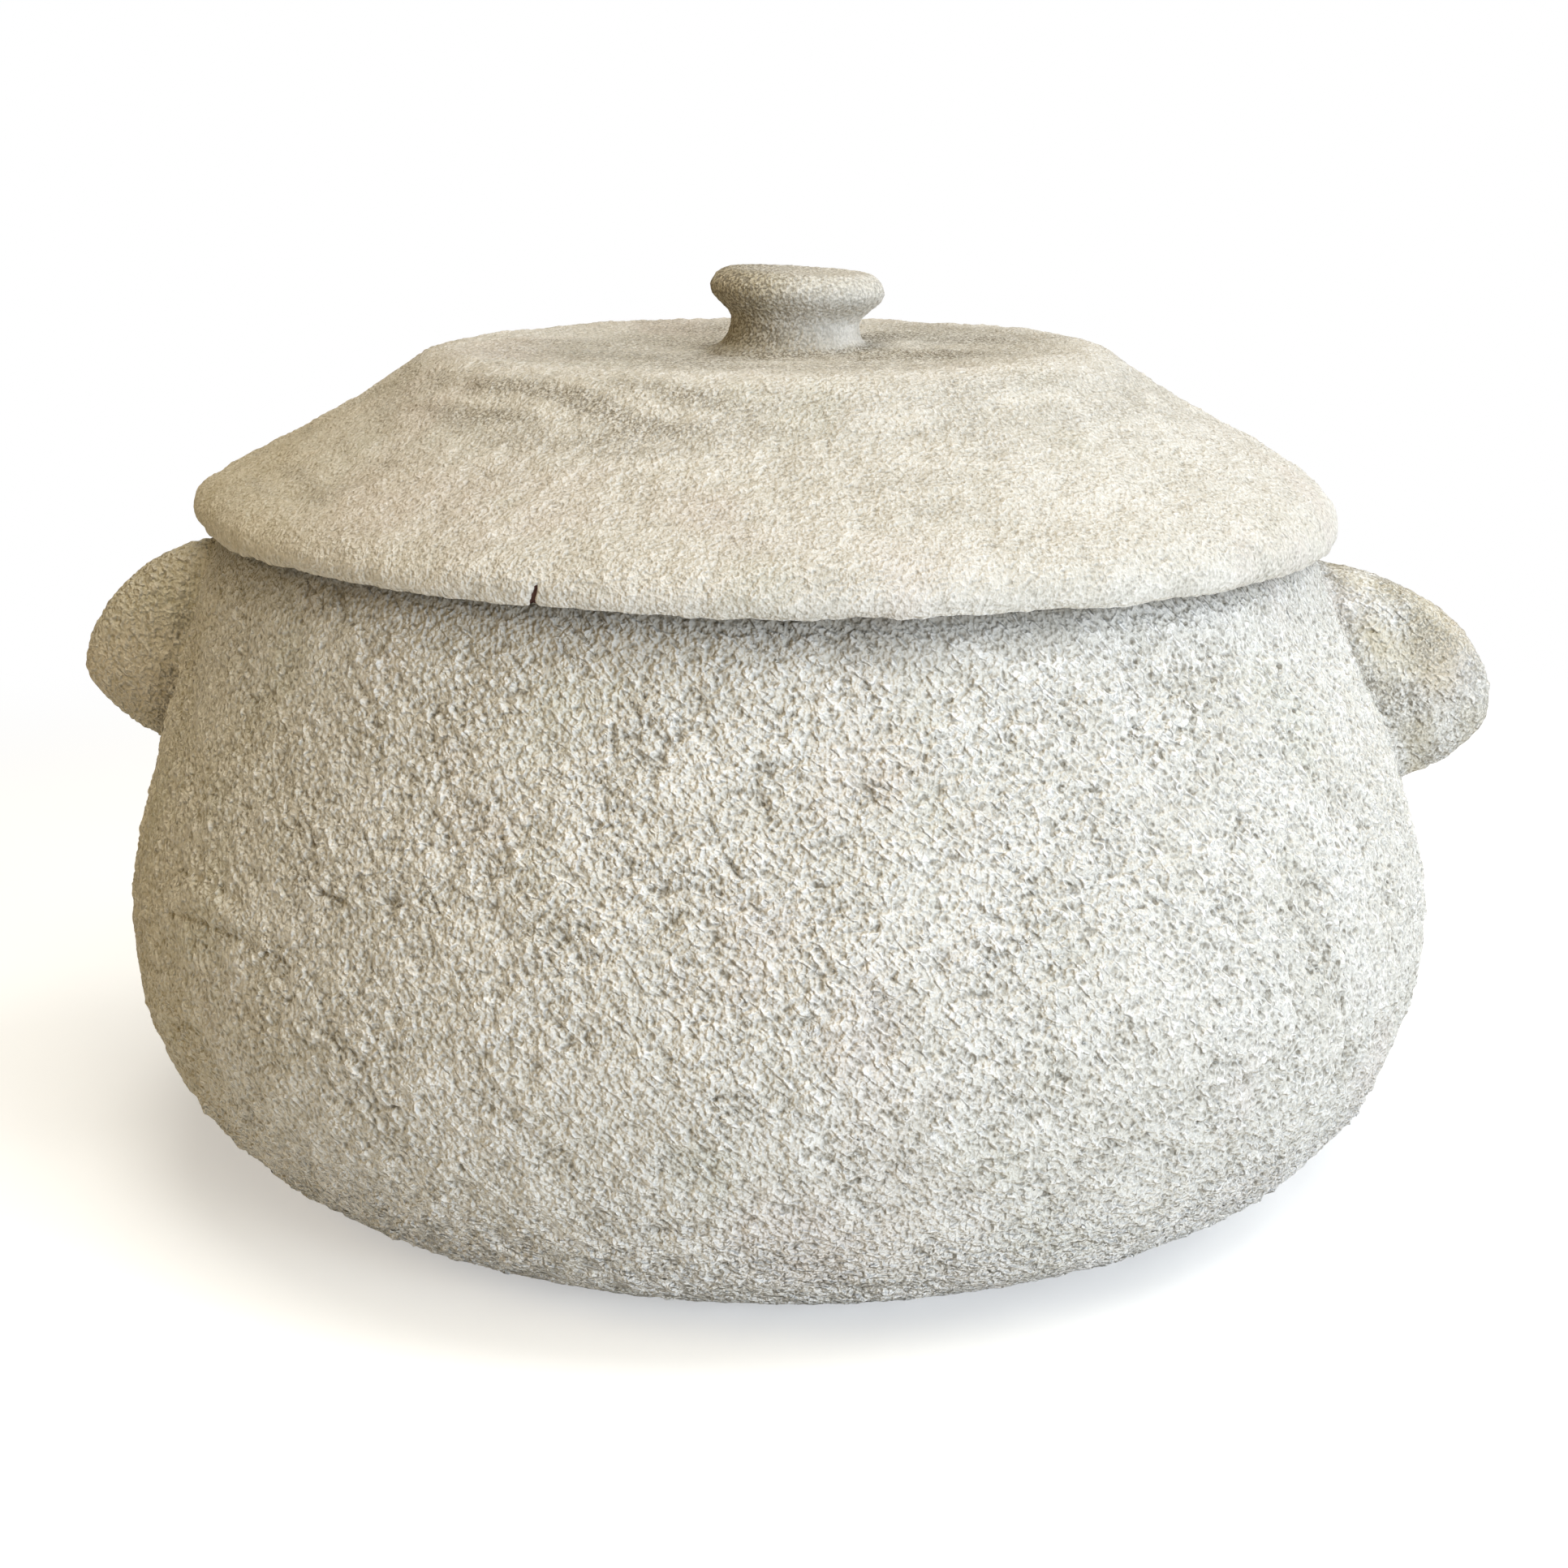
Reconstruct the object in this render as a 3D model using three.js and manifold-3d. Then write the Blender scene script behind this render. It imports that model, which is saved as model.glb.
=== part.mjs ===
// A handmade lidded pot: a round-bellied red clay bowl with two lug handles, and a loose lid with a knob.
// A pale, gritty plaster coat covers the outside. Millimetres, +Z up, lugs along X, front towards -Y.
import * as THREE from "three";
import { mergeVertices } from "three/addons/utils/BufferGeometryUtils.js";
import Module from "manifold-3d";

// Sizes are over the coat. Angles are in degrees from level and pointing outwards, along the outline.
const UPRIGHT = 90;
const INWARDS = 180;

// Bowl
const FOOT_RADIUS = 132;
const FOOT_LIFT = 1;
const FOOT_SLOPE = 4.7;
const FOOT_HANDLE = 0.363;
const BELLY_RADIUS = 187.4;
const BELLY_HEIGHT = 72.7;
const NECK_RADIUS = 153.5;
const NECK_LEAN = 105;
const NECK_HANDLE = 0.26;
const RIM_HEIGHT = 180.7;
const BOWL_WALL = 8;
const BOWL_FLOOR = 11;

// Lug handles: the drop is from the rim to the lug's tip, which stands between its rise and its fall
const LUG_THICKNESS = 34;
const LUG_BLUNTNESS = 1.04;
const LUG_ROOT_FLARE = 6;
const LUG_ROOT_BLEND = 7;
const LEFT_LUG_REACH = 32;
const LEFT_LUG_DROP = 45.7;
const LEFT_LUG_RISE = 37;
const LEFT_LUG_FALL = 25.5;
const RIGHT_LUG_REACH = 35.5;
const RIGHT_LUG_DROP = 48.7;
const RIGHT_LUG_RISE = 38.5;
const RIGHT_LUG_FALL = 29.5;

// Lid
const LID_OVERHANG = 6.5;
const LID_EDGE = 7;
const LID_EDGE_UNDERCUT = 2.3;
const LID_EDGE_ANGLE = 20;
const LID_BROW_WIDTH = 17.5;
const LID_BROW_HEIGHT = 19.2;
const LID_SLOPE = 150;
const LID_RISE = 50;
const LID_WALL = 8;
const CROWN_RADIUS = 86;
const CROWN_EDGE_WIDTH = 14;
const CROWN_EDGE_DEPTH = 5;
const CROWN_SLOPE = 140;
const CROWN_DISH = 2.8;

// Ring under the lid
const RING_DEPTH = 14;
const RING_WALL = 7;
const RING_CLEARANCE = 2.5;

// Knob
const KNOB_FOOT_RADIUS = 23;
const KNOB_FOOT_ANGLE = 150;
const KNOB_WAIST_RADIUS = 18;
const KNOB_WAIST_HEIGHT = 10;
const KNOB_RIM_RADIUS = 24.5;
const KNOB_RIM_ANGLE = 70;
const KNOB_RIM_HEIGHT = 18.5;
const KNOB_HEIGHT = 23.8;
const KNOB_TOP_RADIUS = 19;
const KNOB_DISH = 1;
const KNOB_OFFSET = 7.4;
const KNOB_TILT = 2;

// Coats, and the joint between a coat or a luted piece and the clay under it
const BOWL_COAT = 2.5;
const LID_COAT = 1.5;
const JOINT = 0.3;

// Facets
const ROUND_STEPS = 48;
const BOWL_CURVE_STEPS = 5;
const LID_CURVE_STEPS = 3;
const KNOB_STEPS = 24;
const LUG_STEPS = 24;
const LUG_RINGS = 9;

// How far a cutting solid runs past what it cuts, and the share of its depth that a moved outline keeps
const OVERCUT = 6;
const NOT_FOLDED = 0.98;

const CLAY_COLOUR = 0x9a5a3d;
const COAT_COLOUR = 0xd6d0c2;

const wasm = await Module();
wasm.setup();

// Closed geometry to a solid that can be joined and cut
function solidOf(geometry) {
  geometry.deleteAttribute("normal");
  geometry.deleteAttribute("uv");
  const merged = mergeVertices(geometry, 1e-4);
  return new wasm.Manifold(
    new wasm.Mesh({
      numProp: 3,
      vertProperties: merged.getAttribute("position").array,
      triVerts: new Uint32Array(merged.index.array),
    }),
  );
}

// A solid to a named mesh with its own material
function piece(name, solid, colour) {
  const { vertProperties, triVerts } = solid.getMesh();
  const geometry = new THREE.BufferGeometry();
  geometry.setAttribute("position", new THREE.BufferAttribute(vertProperties, 3));
  geometry.setIndex(new THREE.BufferAttribute(triVerts, 1));
  geometry.computeVertexNormals();
  const material = new THREE.MeshStandardMaterial({ color: colour, roughness: 0.95, metalness: 0 });
  const mesh = new THREE.Mesh(geometry, material);
  mesh.name = name;
  return mesh;
}

// A profile of radius and height, turned about the Z axis
function turnedGeometry(profile, steps) {
  return new THREE.LatheGeometry(profile, steps).rotateX(Math.PI / 2);
}

const turned = (profile) => solidOf(turnedGeometry(profile, ROUND_STEPS));

const point = (x, y) => new THREE.Vector2(x, y);

// Unit vector at an angle
function heading(degrees) {
  const angle = THREE.MathUtils.degToRad(degrees);
  return point(Math.cos(angle), Math.sin(angle));
}

// Adds a curve that leaves the last point and arrives at (x, y) at the given angles.
// Each handle is a share of the straight distance.
function sweep(path, x, y, leave, arrive, share = 1 / 3) {
  const from = path.currentPoint.clone();
  const to = point(x, y);
  const handle = share * from.distanceTo(to);
  const first = from.addScaledVector(heading(leave), handle);
  const second = to.clone().addScaledVector(heading(arrive), -handle);
  path.bezierCurveTo(first.x, first.y, second.x, second.y, x, y);
}

// An outline moved inwards by a depth. Open ends move level, an end on the axis moves down,
// and points that come nearer than that depth, where the outline would fold over itself, are dropped.
function inset(outline, depth) {
  const last = outline.length - 1;
  const moved = outline.map((p, i) => {
    if (p.x === 0) return point(0, p.y - depth);
    if (i === 0 || i === last) return point(p.x - depth, p.y);
    const along = outline[i + 1].clone().sub(outline[i - 1]).normalize();
    return point(p.x - along.y * depth, p.y + along.x * depth);
  });
  return moved.filter((m) => outline.every((p) => m.distanceTo(p) >= depth * NOT_FOLDED));
}

// Straight-line value between two ends
function between(value, from, to, atFrom, atTo) {
  return atFrom + ((atTo - atFrom) * (value - from)) / (to - from);
}

// Radius of an upward outline at a height, held at its ends
function radiusAt(outline, height) {
  if (height <= outline[0].y) return outline[0].x;
  const i = outline.findIndex((p) => p.y >= height);
  if (i < 0) return outline.at(-1).x;
  return between(height, outline[i - 1].y, outline[i].y, outline[i - 1].x, outline[i].x);
}

// Height of an inward outline at a radius
function heightAt(outline, radius) {
  const i = outline.findIndex((p) => p.x <= radius);
  return between(radius, outline[i - 1].x, outline[i].x, outline[i - 1].y, outline[i].y);
}

// Bowl outline over its coat, from the foot up to the rim
function bowlOutline() {
  const path = new THREE.Path();
  path.moveTo(FOOT_RADIUS, FOOT_LIFT);
  sweep(path, BELLY_RADIUS, BELLY_HEIGHT, FOOT_SLOPE, UPRIGHT, FOOT_HANDLE);
  sweep(path, NECK_RADIUS, RIM_HEIGHT, UPRIGHT, NECK_LEAN, NECK_HANDLE);
  return path.getPoints(BOWL_CURVE_STEPS);
}

const bowlSkin = bowlOutline();
const bowlBed = inset(bowlSkin, BOWL_COAT);
const bowlClay = inset(bowlSkin, BOWL_COAT + JOINT);
const bowlInside = inset(bowlSkin, BOWL_COAT + JOINT + BOWL_WALL);
const mouthRadius = bowlInside.at(-1).x;

// Everything within an outline from one height to another
function filled(outline, low, high) {
  const start = point(outline[0].x, low);
  const end = point(outline.at(-1).x, high);
  return turned([point(0, low), start, ...outline, end, point(0, high)]);
}

// Clay bowl: flat foot, turned wall, flat rim and a flat floor inside
function bowlBody() {
  const floorEdge = point(radiusAt(bowlInside, BOWL_FLOOR), BOWL_FLOOR);
  const inside = [floorEdge, ...bowlInside.filter((p) => p.y > BOWL_FLOOR)].reverse();
  const foot = [point(0, 0), point(bowlClay[0].x, 0)];
  return turned([...foot, ...bowlClay, ...inside, point(0, BOWL_FLOOR)]);
}

// Lug handle: oval sections along the radius close on a round tip, and flare where the lug meets the bowl
function lug(side, reach, drop, rise, fall, depth, flare) {
  const tip = RIM_HEIGHT - drop;
  const wall = radiusAt(bowlSkin, tip);
  const root = radiusAt(bowlBed, tip + rise) - OVERCUT;
  const length = wall + reach - depth - root;
  const profile = [point(0, 0)];
  for (let i = 0; i < LUG_RINGS; i++) profile.push(point(1, i));
  profile.push(point(0, LUG_RINGS));
  const geometry = new THREE.LatheGeometry(profile, LUG_STEPS);
  const place = geometry.getAttribute("position");
  for (let i = 0; i < place.count; i++) {
    const turn = (place.getY(i) / LUG_RINGS) * (Math.PI / 2);
    const out = root + length * Math.sin(turn) ** LUG_BLUNTNESS;
    const spread = flare * Math.exp(-Math.max(out - wall, 0) / LUG_ROOT_BLEND);
    const half = place.getZ(i) > 0 ? rise : fall;
    const tall = (half - depth) * Math.cos(turn) ** LUG_BLUNTNESS + spread;
    const thick = (LUG_THICKNESS / 2 - depth) * Math.sqrt(Math.cos(turn)) + spread;
    place.setXYZ(i, side * out, -side * place.getX(i) * thick, tip + place.getZ(i) * tall);
  }
  return solidOf(geometry);
}

const lugs = [
  { name: "left_lug_handle", shape: [-1, LEFT_LUG_REACH, LEFT_LUG_DROP, LEFT_LUG_RISE, LEFT_LUG_FALL] },
  { name: "right_lug_handle", shape: [1, RIGHT_LUG_REACH, RIGHT_LUG_DROP, RIGHT_LUG_RISE, RIGHT_LUG_FALL] },
];
const bowlBedSolid = filled(bowlBed, -OVERCUT, RIM_HEIGHT + OVERCUT);

// Clay lug, luted on the bowl's wall
function lugHandle({ shape }) {
  return lug(...shape, BOWL_COAT + JOINT, 0).subtract(bowlBedSolid);
}

// Plaster coat over the bowl and both lugs, open at the foot and at the rim
function bowlCoat() {
  let coat = filled(bowlSkin, FOOT_LIFT, RIM_HEIGHT);
  for (const { shape } of lugs) coat = coat.add(lug(...shape, 0, LUG_ROOT_FLARE));
  coat = coat.subtract(bowlBedSolid);
  for (const { shape } of lugs) coat = coat.subtract(lug(...shape, BOWL_COAT, 0));
  return coat;
}

const seatHeight = RIM_HEIGHT + JOINT;
const crownHeight = seatHeight + LID_RISE;
const knobSeat = crownHeight - CROWN_DISH;
const ringOuter = mouthRadius - RING_CLEARANCE;
const ringInner = ringOuter - RING_WALL;

// Lid outline over its coat, from under the edge to the middle of the dished crown
function lidOutline() {
  const edge = NECK_RADIUS + LID_OVERHANG;
  const crownFoot = CROWN_RADIUS + CROWN_EDGE_WIDTH;
  const path = new THREE.Path();
  path.moveTo(edge - LID_EDGE_UNDERCUT, seatHeight);
  sweep(path, edge, seatHeight + LID_EDGE / 2, LID_EDGE_ANGLE, UPRIGHT);
  sweep(path, edge - LID_BROW_WIDTH, seatHeight + LID_BROW_HEIGHT, UPRIGHT, LID_SLOPE);
  sweep(path, crownFoot, crownHeight - CROWN_EDGE_DEPTH, LID_SLOPE, CROWN_SLOPE);
  sweep(path, CROWN_RADIUS, crownHeight, CROWN_SLOPE, INWARDS);
  sweep(path, 0, knobSeat, INWARDS, INWARDS);
  return path.getPoints(LID_CURVE_STEPS);
}

const lidSkin = lidOutline();
const lidBed = inset(lidSkin, LID_COAT);
const lidClay = inset(lidSkin, LID_COAT + JOINT);
const lidInside = inset(lidSkin, LID_COAT + JOINT + LID_WALL);

// Everything under an outline that ends on the axis, down to a height
const under = (outline, low) => [point(0, low), point(outline[0].x, low), ...outline];

// Clay lid: a flat seat at the edge and a hollow underneath
function lidShell() {
  const inner = lidInside.filter((p) => p.x < ringInner).reverse();
  const step = [point(ringInner, heightAt(lidInside, ringInner)), point(ringInner, seatHeight)];
  return turned([...inner, ...step, ...lidClay]);
}

// Ring under the lid, with a round lower edge
function lidRing() {
  const top = seatHeight - JOINT;
  const round = RING_WALL / 2;
  const path = new THREE.Path();
  path.moveTo(ringInner, top);
  path.lineTo(ringInner, top - RING_DEPTH + round);
  path.absarc(ringInner + round, top - RING_DEPTH + round, round, Math.PI, 2 * Math.PI);
  path.lineTo(ringOuter, top);
  path.lineTo(ringInner, top);
  return turned(path.getPoints(LID_CURVE_STEPS));
}

// Knob outline over its coat, from below the crown to the middle of its dished top
function knobOutline() {
  const path = new THREE.Path();
  path.moveTo(KNOB_FOOT_RADIUS, -LID_COAT - OVERCUT);
  path.lineTo(KNOB_FOOT_RADIUS, 0);
  sweep(path, KNOB_WAIST_RADIUS, KNOB_WAIST_HEIGHT, KNOB_FOOT_ANGLE, UPRIGHT);
  sweep(path, KNOB_RIM_RADIUS, KNOB_RIM_HEIGHT, KNOB_RIM_ANGLE, UPRIGHT);
  sweep(path, KNOB_TOP_RADIUS, KNOB_HEIGHT, UPRIGHT, INWARDS);
  sweep(path, 0, KNOB_HEIGHT - KNOB_DISH, INWARDS, INWARDS);
  return path.getPoints(LID_CURVE_STEPS);
}

// Knob at a depth under its coat, set off the crown's middle and leaning a little, as on the pot
function knob(depth) {
  const outline = inset(knobOutline(), depth);
  const geometry = turnedGeometry([point(0, outline[0].y), ...outline], KNOB_STEPS);
  geometry.rotateY(THREE.MathUtils.degToRad(KNOB_TILT));
  geometry.translate(KNOB_OFFSET, 0, knobSeat);
  return solidOf(geometry);
}

const lidBedSolid = turned(under(lidBed, seatHeight - OVERCUT));

// Clay knob, luted on the crown
function lidKnob() {
  return knob(LID_COAT + JOINT).subtract(lidBedSolid);
}

// Plaster coat over the lid and the knob, open at the lid's edge
function lidCoat() {
  const skin = turned([point(0, seatHeight), ...lidSkin]).add(knob(0));
  return skin.subtract(lidBedSolid).subtract(knob(LID_COAT));
}

const bowl = new THREE.Group();
bowl.add(piece("bowl_body", bowlBody(), CLAY_COLOUR));
for (const handle of lugs) bowl.add(piece(handle.name, lugHandle(handle), CLAY_COLOUR));
bowl.add(piece("bowl_plaster_coat", bowlCoat(), COAT_COLOUR));

const lid = new THREE.Group();
lid.add(piece("lid_shell", lidShell(), CLAY_COLOUR));
lid.add(piece("lid_locating_ring", lidRing(), CLAY_COLOUR));
lid.add(piece("lid_knob", lidKnob(), CLAY_COLOUR));
lid.add(piece("lid_plaster_coat", lidCoat(), COAT_COLOUR));

const pot = new THREE.Group();
pot.add(bowl, lid);

export default pot;
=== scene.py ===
import itertools
import math

import bmesh
import bpy
import numpy as np
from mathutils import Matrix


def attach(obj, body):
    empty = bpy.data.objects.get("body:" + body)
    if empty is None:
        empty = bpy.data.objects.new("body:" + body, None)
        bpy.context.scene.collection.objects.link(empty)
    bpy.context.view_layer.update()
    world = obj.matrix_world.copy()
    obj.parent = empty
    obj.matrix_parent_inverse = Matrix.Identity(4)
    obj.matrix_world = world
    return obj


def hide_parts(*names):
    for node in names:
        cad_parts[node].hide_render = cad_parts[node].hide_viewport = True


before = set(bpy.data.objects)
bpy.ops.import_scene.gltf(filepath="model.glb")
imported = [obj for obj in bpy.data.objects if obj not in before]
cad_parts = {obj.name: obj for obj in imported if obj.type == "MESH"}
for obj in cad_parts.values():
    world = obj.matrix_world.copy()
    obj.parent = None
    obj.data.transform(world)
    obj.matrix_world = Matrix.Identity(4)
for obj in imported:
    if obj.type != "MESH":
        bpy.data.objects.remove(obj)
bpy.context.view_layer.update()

# Sizes over the coat. Angles are in degrees from level and pointing outwards, along the outline.
UPRIGHT = 90
INWARDS = 180

# Bowl
FOOT_RADIUS = 0.132
FOOT_LIFT = 0.001
FOOT_SLOPE = 4.7
FOOT_HANDLE = 0.363
BELLY_RADIUS = 0.1874
BELLY_HEIGHT = 0.0727
NECK_RADIUS = 0.1535
NECK_LEAN = 105
NECK_HANDLE = 0.26
RIM_HEIGHT = 0.1807
BOWL_COAT = 0.0025
BOWL_WALL = 0.008
BOWL_FLOOR = 0.011

# Lug handles: the drop is from the rim to the lug's tip, which stands between its rise and its fall
LUG_THICKNESS = 0.034
LUG_FLATNESS = 3.4
LUG_FILLET = 0.005
LEFT_LUG = {"side": -1, "drop": 0.0457, "reach": 0.032, "rise": 0.037, "fall": 0.0255, "roundness": 1.75}
RIGHT_LUG = {"side": 1, "drop": 0.0487, "reach": 0.0355, "rise": 0.0385, "fall": 0.0295, "roundness": 2.0}

# Lid
LID_OVERHANG = 0.0065
LID_EDGE = 0.007
LID_EDGE_UNDERCUT = 0.0023
LID_EDGE_ANGLE = 20
LID_BROW_WIDTH = 0.0175
LID_BROW_HEIGHT = 0.0192
LID_SLOPE = 150
LID_RISE = 0.050
LID_COAT = 0.0015
LID_WALL = 0.008
CROWN_RADIUS = 0.086
CROWN_EDGE_WIDTH = 0.014
CROWN_EDGE_DEPTH = 0.005
CROWN_SLOPE = 140
CROWN_DISH = 0.0028
JOINT = 0.0003
SEAT_HEIGHT = RIM_HEIGHT + JOINT
CROWN_HEIGHT = SEAT_HEIGHT + LID_RISE
KNOB_SEAT = CROWN_HEIGHT - CROWN_DISH

# Ring under the lid
RING_DEPTH = 0.014
RING_WALL = 0.007
RING_CLEARANCE = 0.0025

# Knob
KNOB_FOOT_RADIUS = 0.023
KNOB_FOOT_ANGLE = 150
KNOB_WAIST_RADIUS = 0.018
KNOB_WAIST_HEIGHT = 0.010
KNOB_RIM_RADIUS = 0.0245
KNOB_RIM_ANGLE = 70
KNOB_RIM_HEIGHT = 0.0185
KNOB_HEIGHT = 0.0238
KNOB_TOP_RADIUS = 0.019
KNOB_DISH = 0.001
KNOB_OFFSET = 0.0074
KNOB_TILT = math.radians(3)
KNOB_SUNK = 0.006
KNOB_FILLET = 0.0035

# Meshes
BOWL_GRAIN = 0.00065
LID_GRAIN = 0.0006
CURVE_STEPS = 28
ROUND_STEPS = 160
CLAY_STEPS = 360
FIELD_STEP = 0.0006
FIELD_MARGIN = 0.012
LUG_ROWS = 24
SETTLE_ROUNDS = 2
TRIM_MARGIN = 3 * BOWL_GRAIN
CUT_TOLERANCE = 1e-7
TINY = 1e-6
OVERCUT = 0.006
PROBE = 0.0002
FAR = 1.0
CORNERS = np.array([(1, -1, -1), (-1, -1, 1), (-1, 1, -1), (1, 1, 1)])


def ease(x, low, high):
    """Smooth step from 0 at low to 1 at high."""
    t = np.clip((x - low) / (high - low), 0, 1)
    return t * t * (3 - 2 * t)


def turn_of(p):
    return np.arctan2(p[:, 0], -p[:, 1])


def radius_of(p):
    return np.hypot(p[:, 0], p[:, 1])


# Noise
NOISE_GAIN = 1.4


def hashed(i, j, k, seed):
    """An even spread of 32-bit numbers, one for each lattice point."""
    h = (i * 0x8DA6B343) ^ (j * 0xD8163841) ^ (k * 0xCB1AB31F) ^ (seed * 0x9E3779B1)
    h = (h & 0xFFFFFFFF).astype(np.uint32)
    for shift, factor in ((15, 0x2C1B3C6D), (12, 0x297A2D39)):
        h ^= h >> np.uint32(shift)
        h *= np.uint32(factor)
    return h ^ (h >> np.uint32(15))


def noise(q, seed):
    """Smooth noise at points q, about -1 to 1, with its features about 1 apart."""
    cell = np.floor(q).astype(np.int64)
    part = q - cell
    share = part**3 * (part * (part * 6 - 15) + 10)
    total = np.zeros(len(q))
    for corner in itertools.product((0, 1), repeat=3):
        h = hashed(*(cell + corner).T, seed)
        weight = np.ones(len(q))
        value = np.zeros(len(q))
        for axis in range(3):
            component = ((h >> np.uint32(10 * axis)) & np.uint32(1023)) / 511.5 - 1
            value += component * (part[:, axis] - corner[axis])
            weight *= share[:, axis] if corner[axis] else 1 - share[:, axis]
        total += weight * value
    return total * NOISE_GAIN


def spots(q, seed):
    """Distance from points q to the nearest of random spots, one in each cell, and that spot's number."""
    cell = np.floor(q).astype(np.int64)
    nearest = np.full(len(q), np.inf)
    number = np.zeros(len(q))
    for step in itertools.product((-1, 0, 1), repeat=3):
        home = cell + step
        h = hashed(*home.T, seed)
        away = np.zeros(len(q))
        for axis in range(3):
            place = ((h >> np.uint32(10 * axis)) & np.uint32(1023)) / 1023
            away += (home[:, axis] + place - q[:, axis]) ** 2
        closer = away < nearest
        nearest[closer] = away[closer]
        number[closer] = (hashed(*home[closer].T, seed + 1) & np.uint32(0xFFFF)) / 0xFFFF
    return np.sqrt(nearest), number


# Outlines of radius and height

def heading(degrees):
    return np.array([math.cos(math.radians(degrees)), math.sin(math.radians(degrees))])


def sweep(outline, x, y, leave, arrive, share=1 / 3):
    """Adds a curve that leaves the last point and arrives at (x, y) at the given angles."""
    start, end = np.array(outline[-1]), np.array((x, y))
    handle = share * np.linalg.norm(end - start)
    first = start + handle * heading(leave)
    second = end - handle * heading(arrive)
    for t in np.linspace(0, 1, CURVE_STEPS + 1)[1:]:
        s = 1 - t
        outline.append(tuple(s**3 * start + 3 * s * s * t * first + 3 * s * t * t * second + t**3 * end))


def bowl_outline():
    outline = [(FOOT_RADIUS, FOOT_LIFT)]
    sweep(outline, BELLY_RADIUS, BELLY_HEIGHT, FOOT_SLOPE, UPRIGHT, FOOT_HANDLE)
    sweep(outline, NECK_RADIUS, RIM_HEIGHT, UPRIGHT, NECK_LEAN, NECK_HANDLE)
    return outline


def lid_outline():
    edge = NECK_RADIUS + LID_OVERHANG
    outline = [(edge - LID_EDGE_UNDERCUT, SEAT_HEIGHT)]
    sweep(outline, edge, SEAT_HEIGHT + LID_EDGE / 2, LID_EDGE_ANGLE, UPRIGHT)
    sweep(outline, edge - LID_BROW_WIDTH, SEAT_HEIGHT + LID_BROW_HEIGHT, UPRIGHT, LID_SLOPE)
    sweep(outline, CROWN_RADIUS + CROWN_EDGE_WIDTH, CROWN_HEIGHT - CROWN_EDGE_DEPTH, LID_SLOPE, CROWN_SLOPE)
    sweep(outline, CROWN_RADIUS, CROWN_HEIGHT, CROWN_SLOPE, INWARDS)
    sweep(outline, 0, KNOB_SEAT, INWARDS, INWARDS)
    return outline


def knob_outline():
    outline = [(KNOB_FOOT_RADIUS, 0)]
    sweep(outline, KNOB_WAIST_RADIUS, KNOB_WAIST_HEIGHT, KNOB_FOOT_ANGLE, UPRIGHT)
    sweep(outline, KNOB_RIM_RADIUS, KNOB_RIM_HEIGHT, KNOB_RIM_ANGLE, UPRIGHT)
    sweep(outline, KNOB_TOP_RADIUS, KNOB_HEIGHT, UPRIGHT, INWARDS)
    sweep(outline, 0, KNOB_HEIGHT - KNOB_DISH, INWARDS, INWARDS)
    return outline


def inset(outline, depth):
    """An outline moved inwards, or down where it lies level."""
    line = np.array(outline)
    along = np.gradient(line, axis=0)
    along /= np.linalg.norm(along, axis=1, keepdims=True)
    return line + depth * np.stack([-along[:, 1], along[:, 0]], 1)


# Solids as distance fields

class Turned:
    """A turned solid: the distance to its surface, negative inside, from a grid of radius and height."""

    def __init__(self, outline):
        self.outline = np.array(outline)
        self.low = np.array([0, self.outline[:, 1].min() - FIELD_MARGIN])
        high = self.outline.max(0) + FIELD_MARGIN
        self.count = np.ceil((high - self.low) / FIELD_STEP).astype(int) + 1
        places = np.stack(np.meshgrid(*map(np.arange, self.count), indexing="ij"), -1)
        self.grid = self.measure(places.reshape(-1, 2) * FIELD_STEP + self.low).reshape(self.count)

    def measure(self, points):
        nearest = np.full(len(points), np.inf)
        inside = np.zeros(len(points), bool)
        for start, end in zip(self.outline[:-1], self.outline[1:]):
            edge = end - start
            share = np.clip((points - start) @ edge / (edge @ edge), 0, 1)
            nearest = np.minimum(nearest, ((points - start - share[:, None] * edge) ** 2).sum(1))
            crossed = (start[1] > points[:, 1]) != (end[1] > points[:, 1])
            if edge[1]:
                reach = start[0] + (points[:, 1] - start[1]) / edge[1] * edge[0]
                inside ^= crossed & (points[:, 0] < reach)
        return np.where(inside, -1, 1) * np.sqrt(nearest)

    def distance(self, p):
        place = (np.stack([radius_of(p), p[:, 2]], 1) - self.low) / FIELD_STEP
        place = np.clip(place, 0, self.count - 1.001)
        i, j = np.floor(place).astype(int).T
        a, b = (place % 1).T
        g = self.grid
        near = (1 - b) * g[i, j] + b * g[i, j + 1]
        far = (1 - b) * g[i + 1, j] + b * g[i + 1, j + 1]
        return (1 - a) * near + a * far

    def blank(self):
        """Points and faces of the solid."""
        return lathe(self.outline, ROUND_STEPS)


def ring_of(turns):
    return np.stack([np.sin(turns), -np.cos(turns)], 1)


def rows_round(outline, steps, closed):
    """Points and faces of rows round the axis, one for each point of an outline that may close on itself."""
    ring = ring_of(np.linspace(0, 2 * math.pi, steps, endpoint=False))
    points = [(*(radius * xy), height) for radius, height in outline for xy in ring]
    count = len(outline)
    faces = []
    for i, k in itertools.product(range(count if closed else count - 1), range(steps)):
        row, above, after = i * steps, (i + 1) % count * steps, (k + 1) % steps
        faces.append((row + k, row + after, above + after, above + k))
    return points, faces


def lathe(outline, steps):
    """Points and faces of a turned outline that starts and ends on the axis."""
    points, faces = rows_round(np.array(outline)[1:-1], steps, closed=False)
    first, last = len(points), len(points) + 1
    top = first - steps
    points += [(0, 0, outline[0][1]), (0, 0, outline[-1][1])]
    for k in range(steps):
        after = (k + 1) % steps
        faces.append((first, after, k))
        faces.append((last, top + k, top + after))
    return np.array(points), faces


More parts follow.
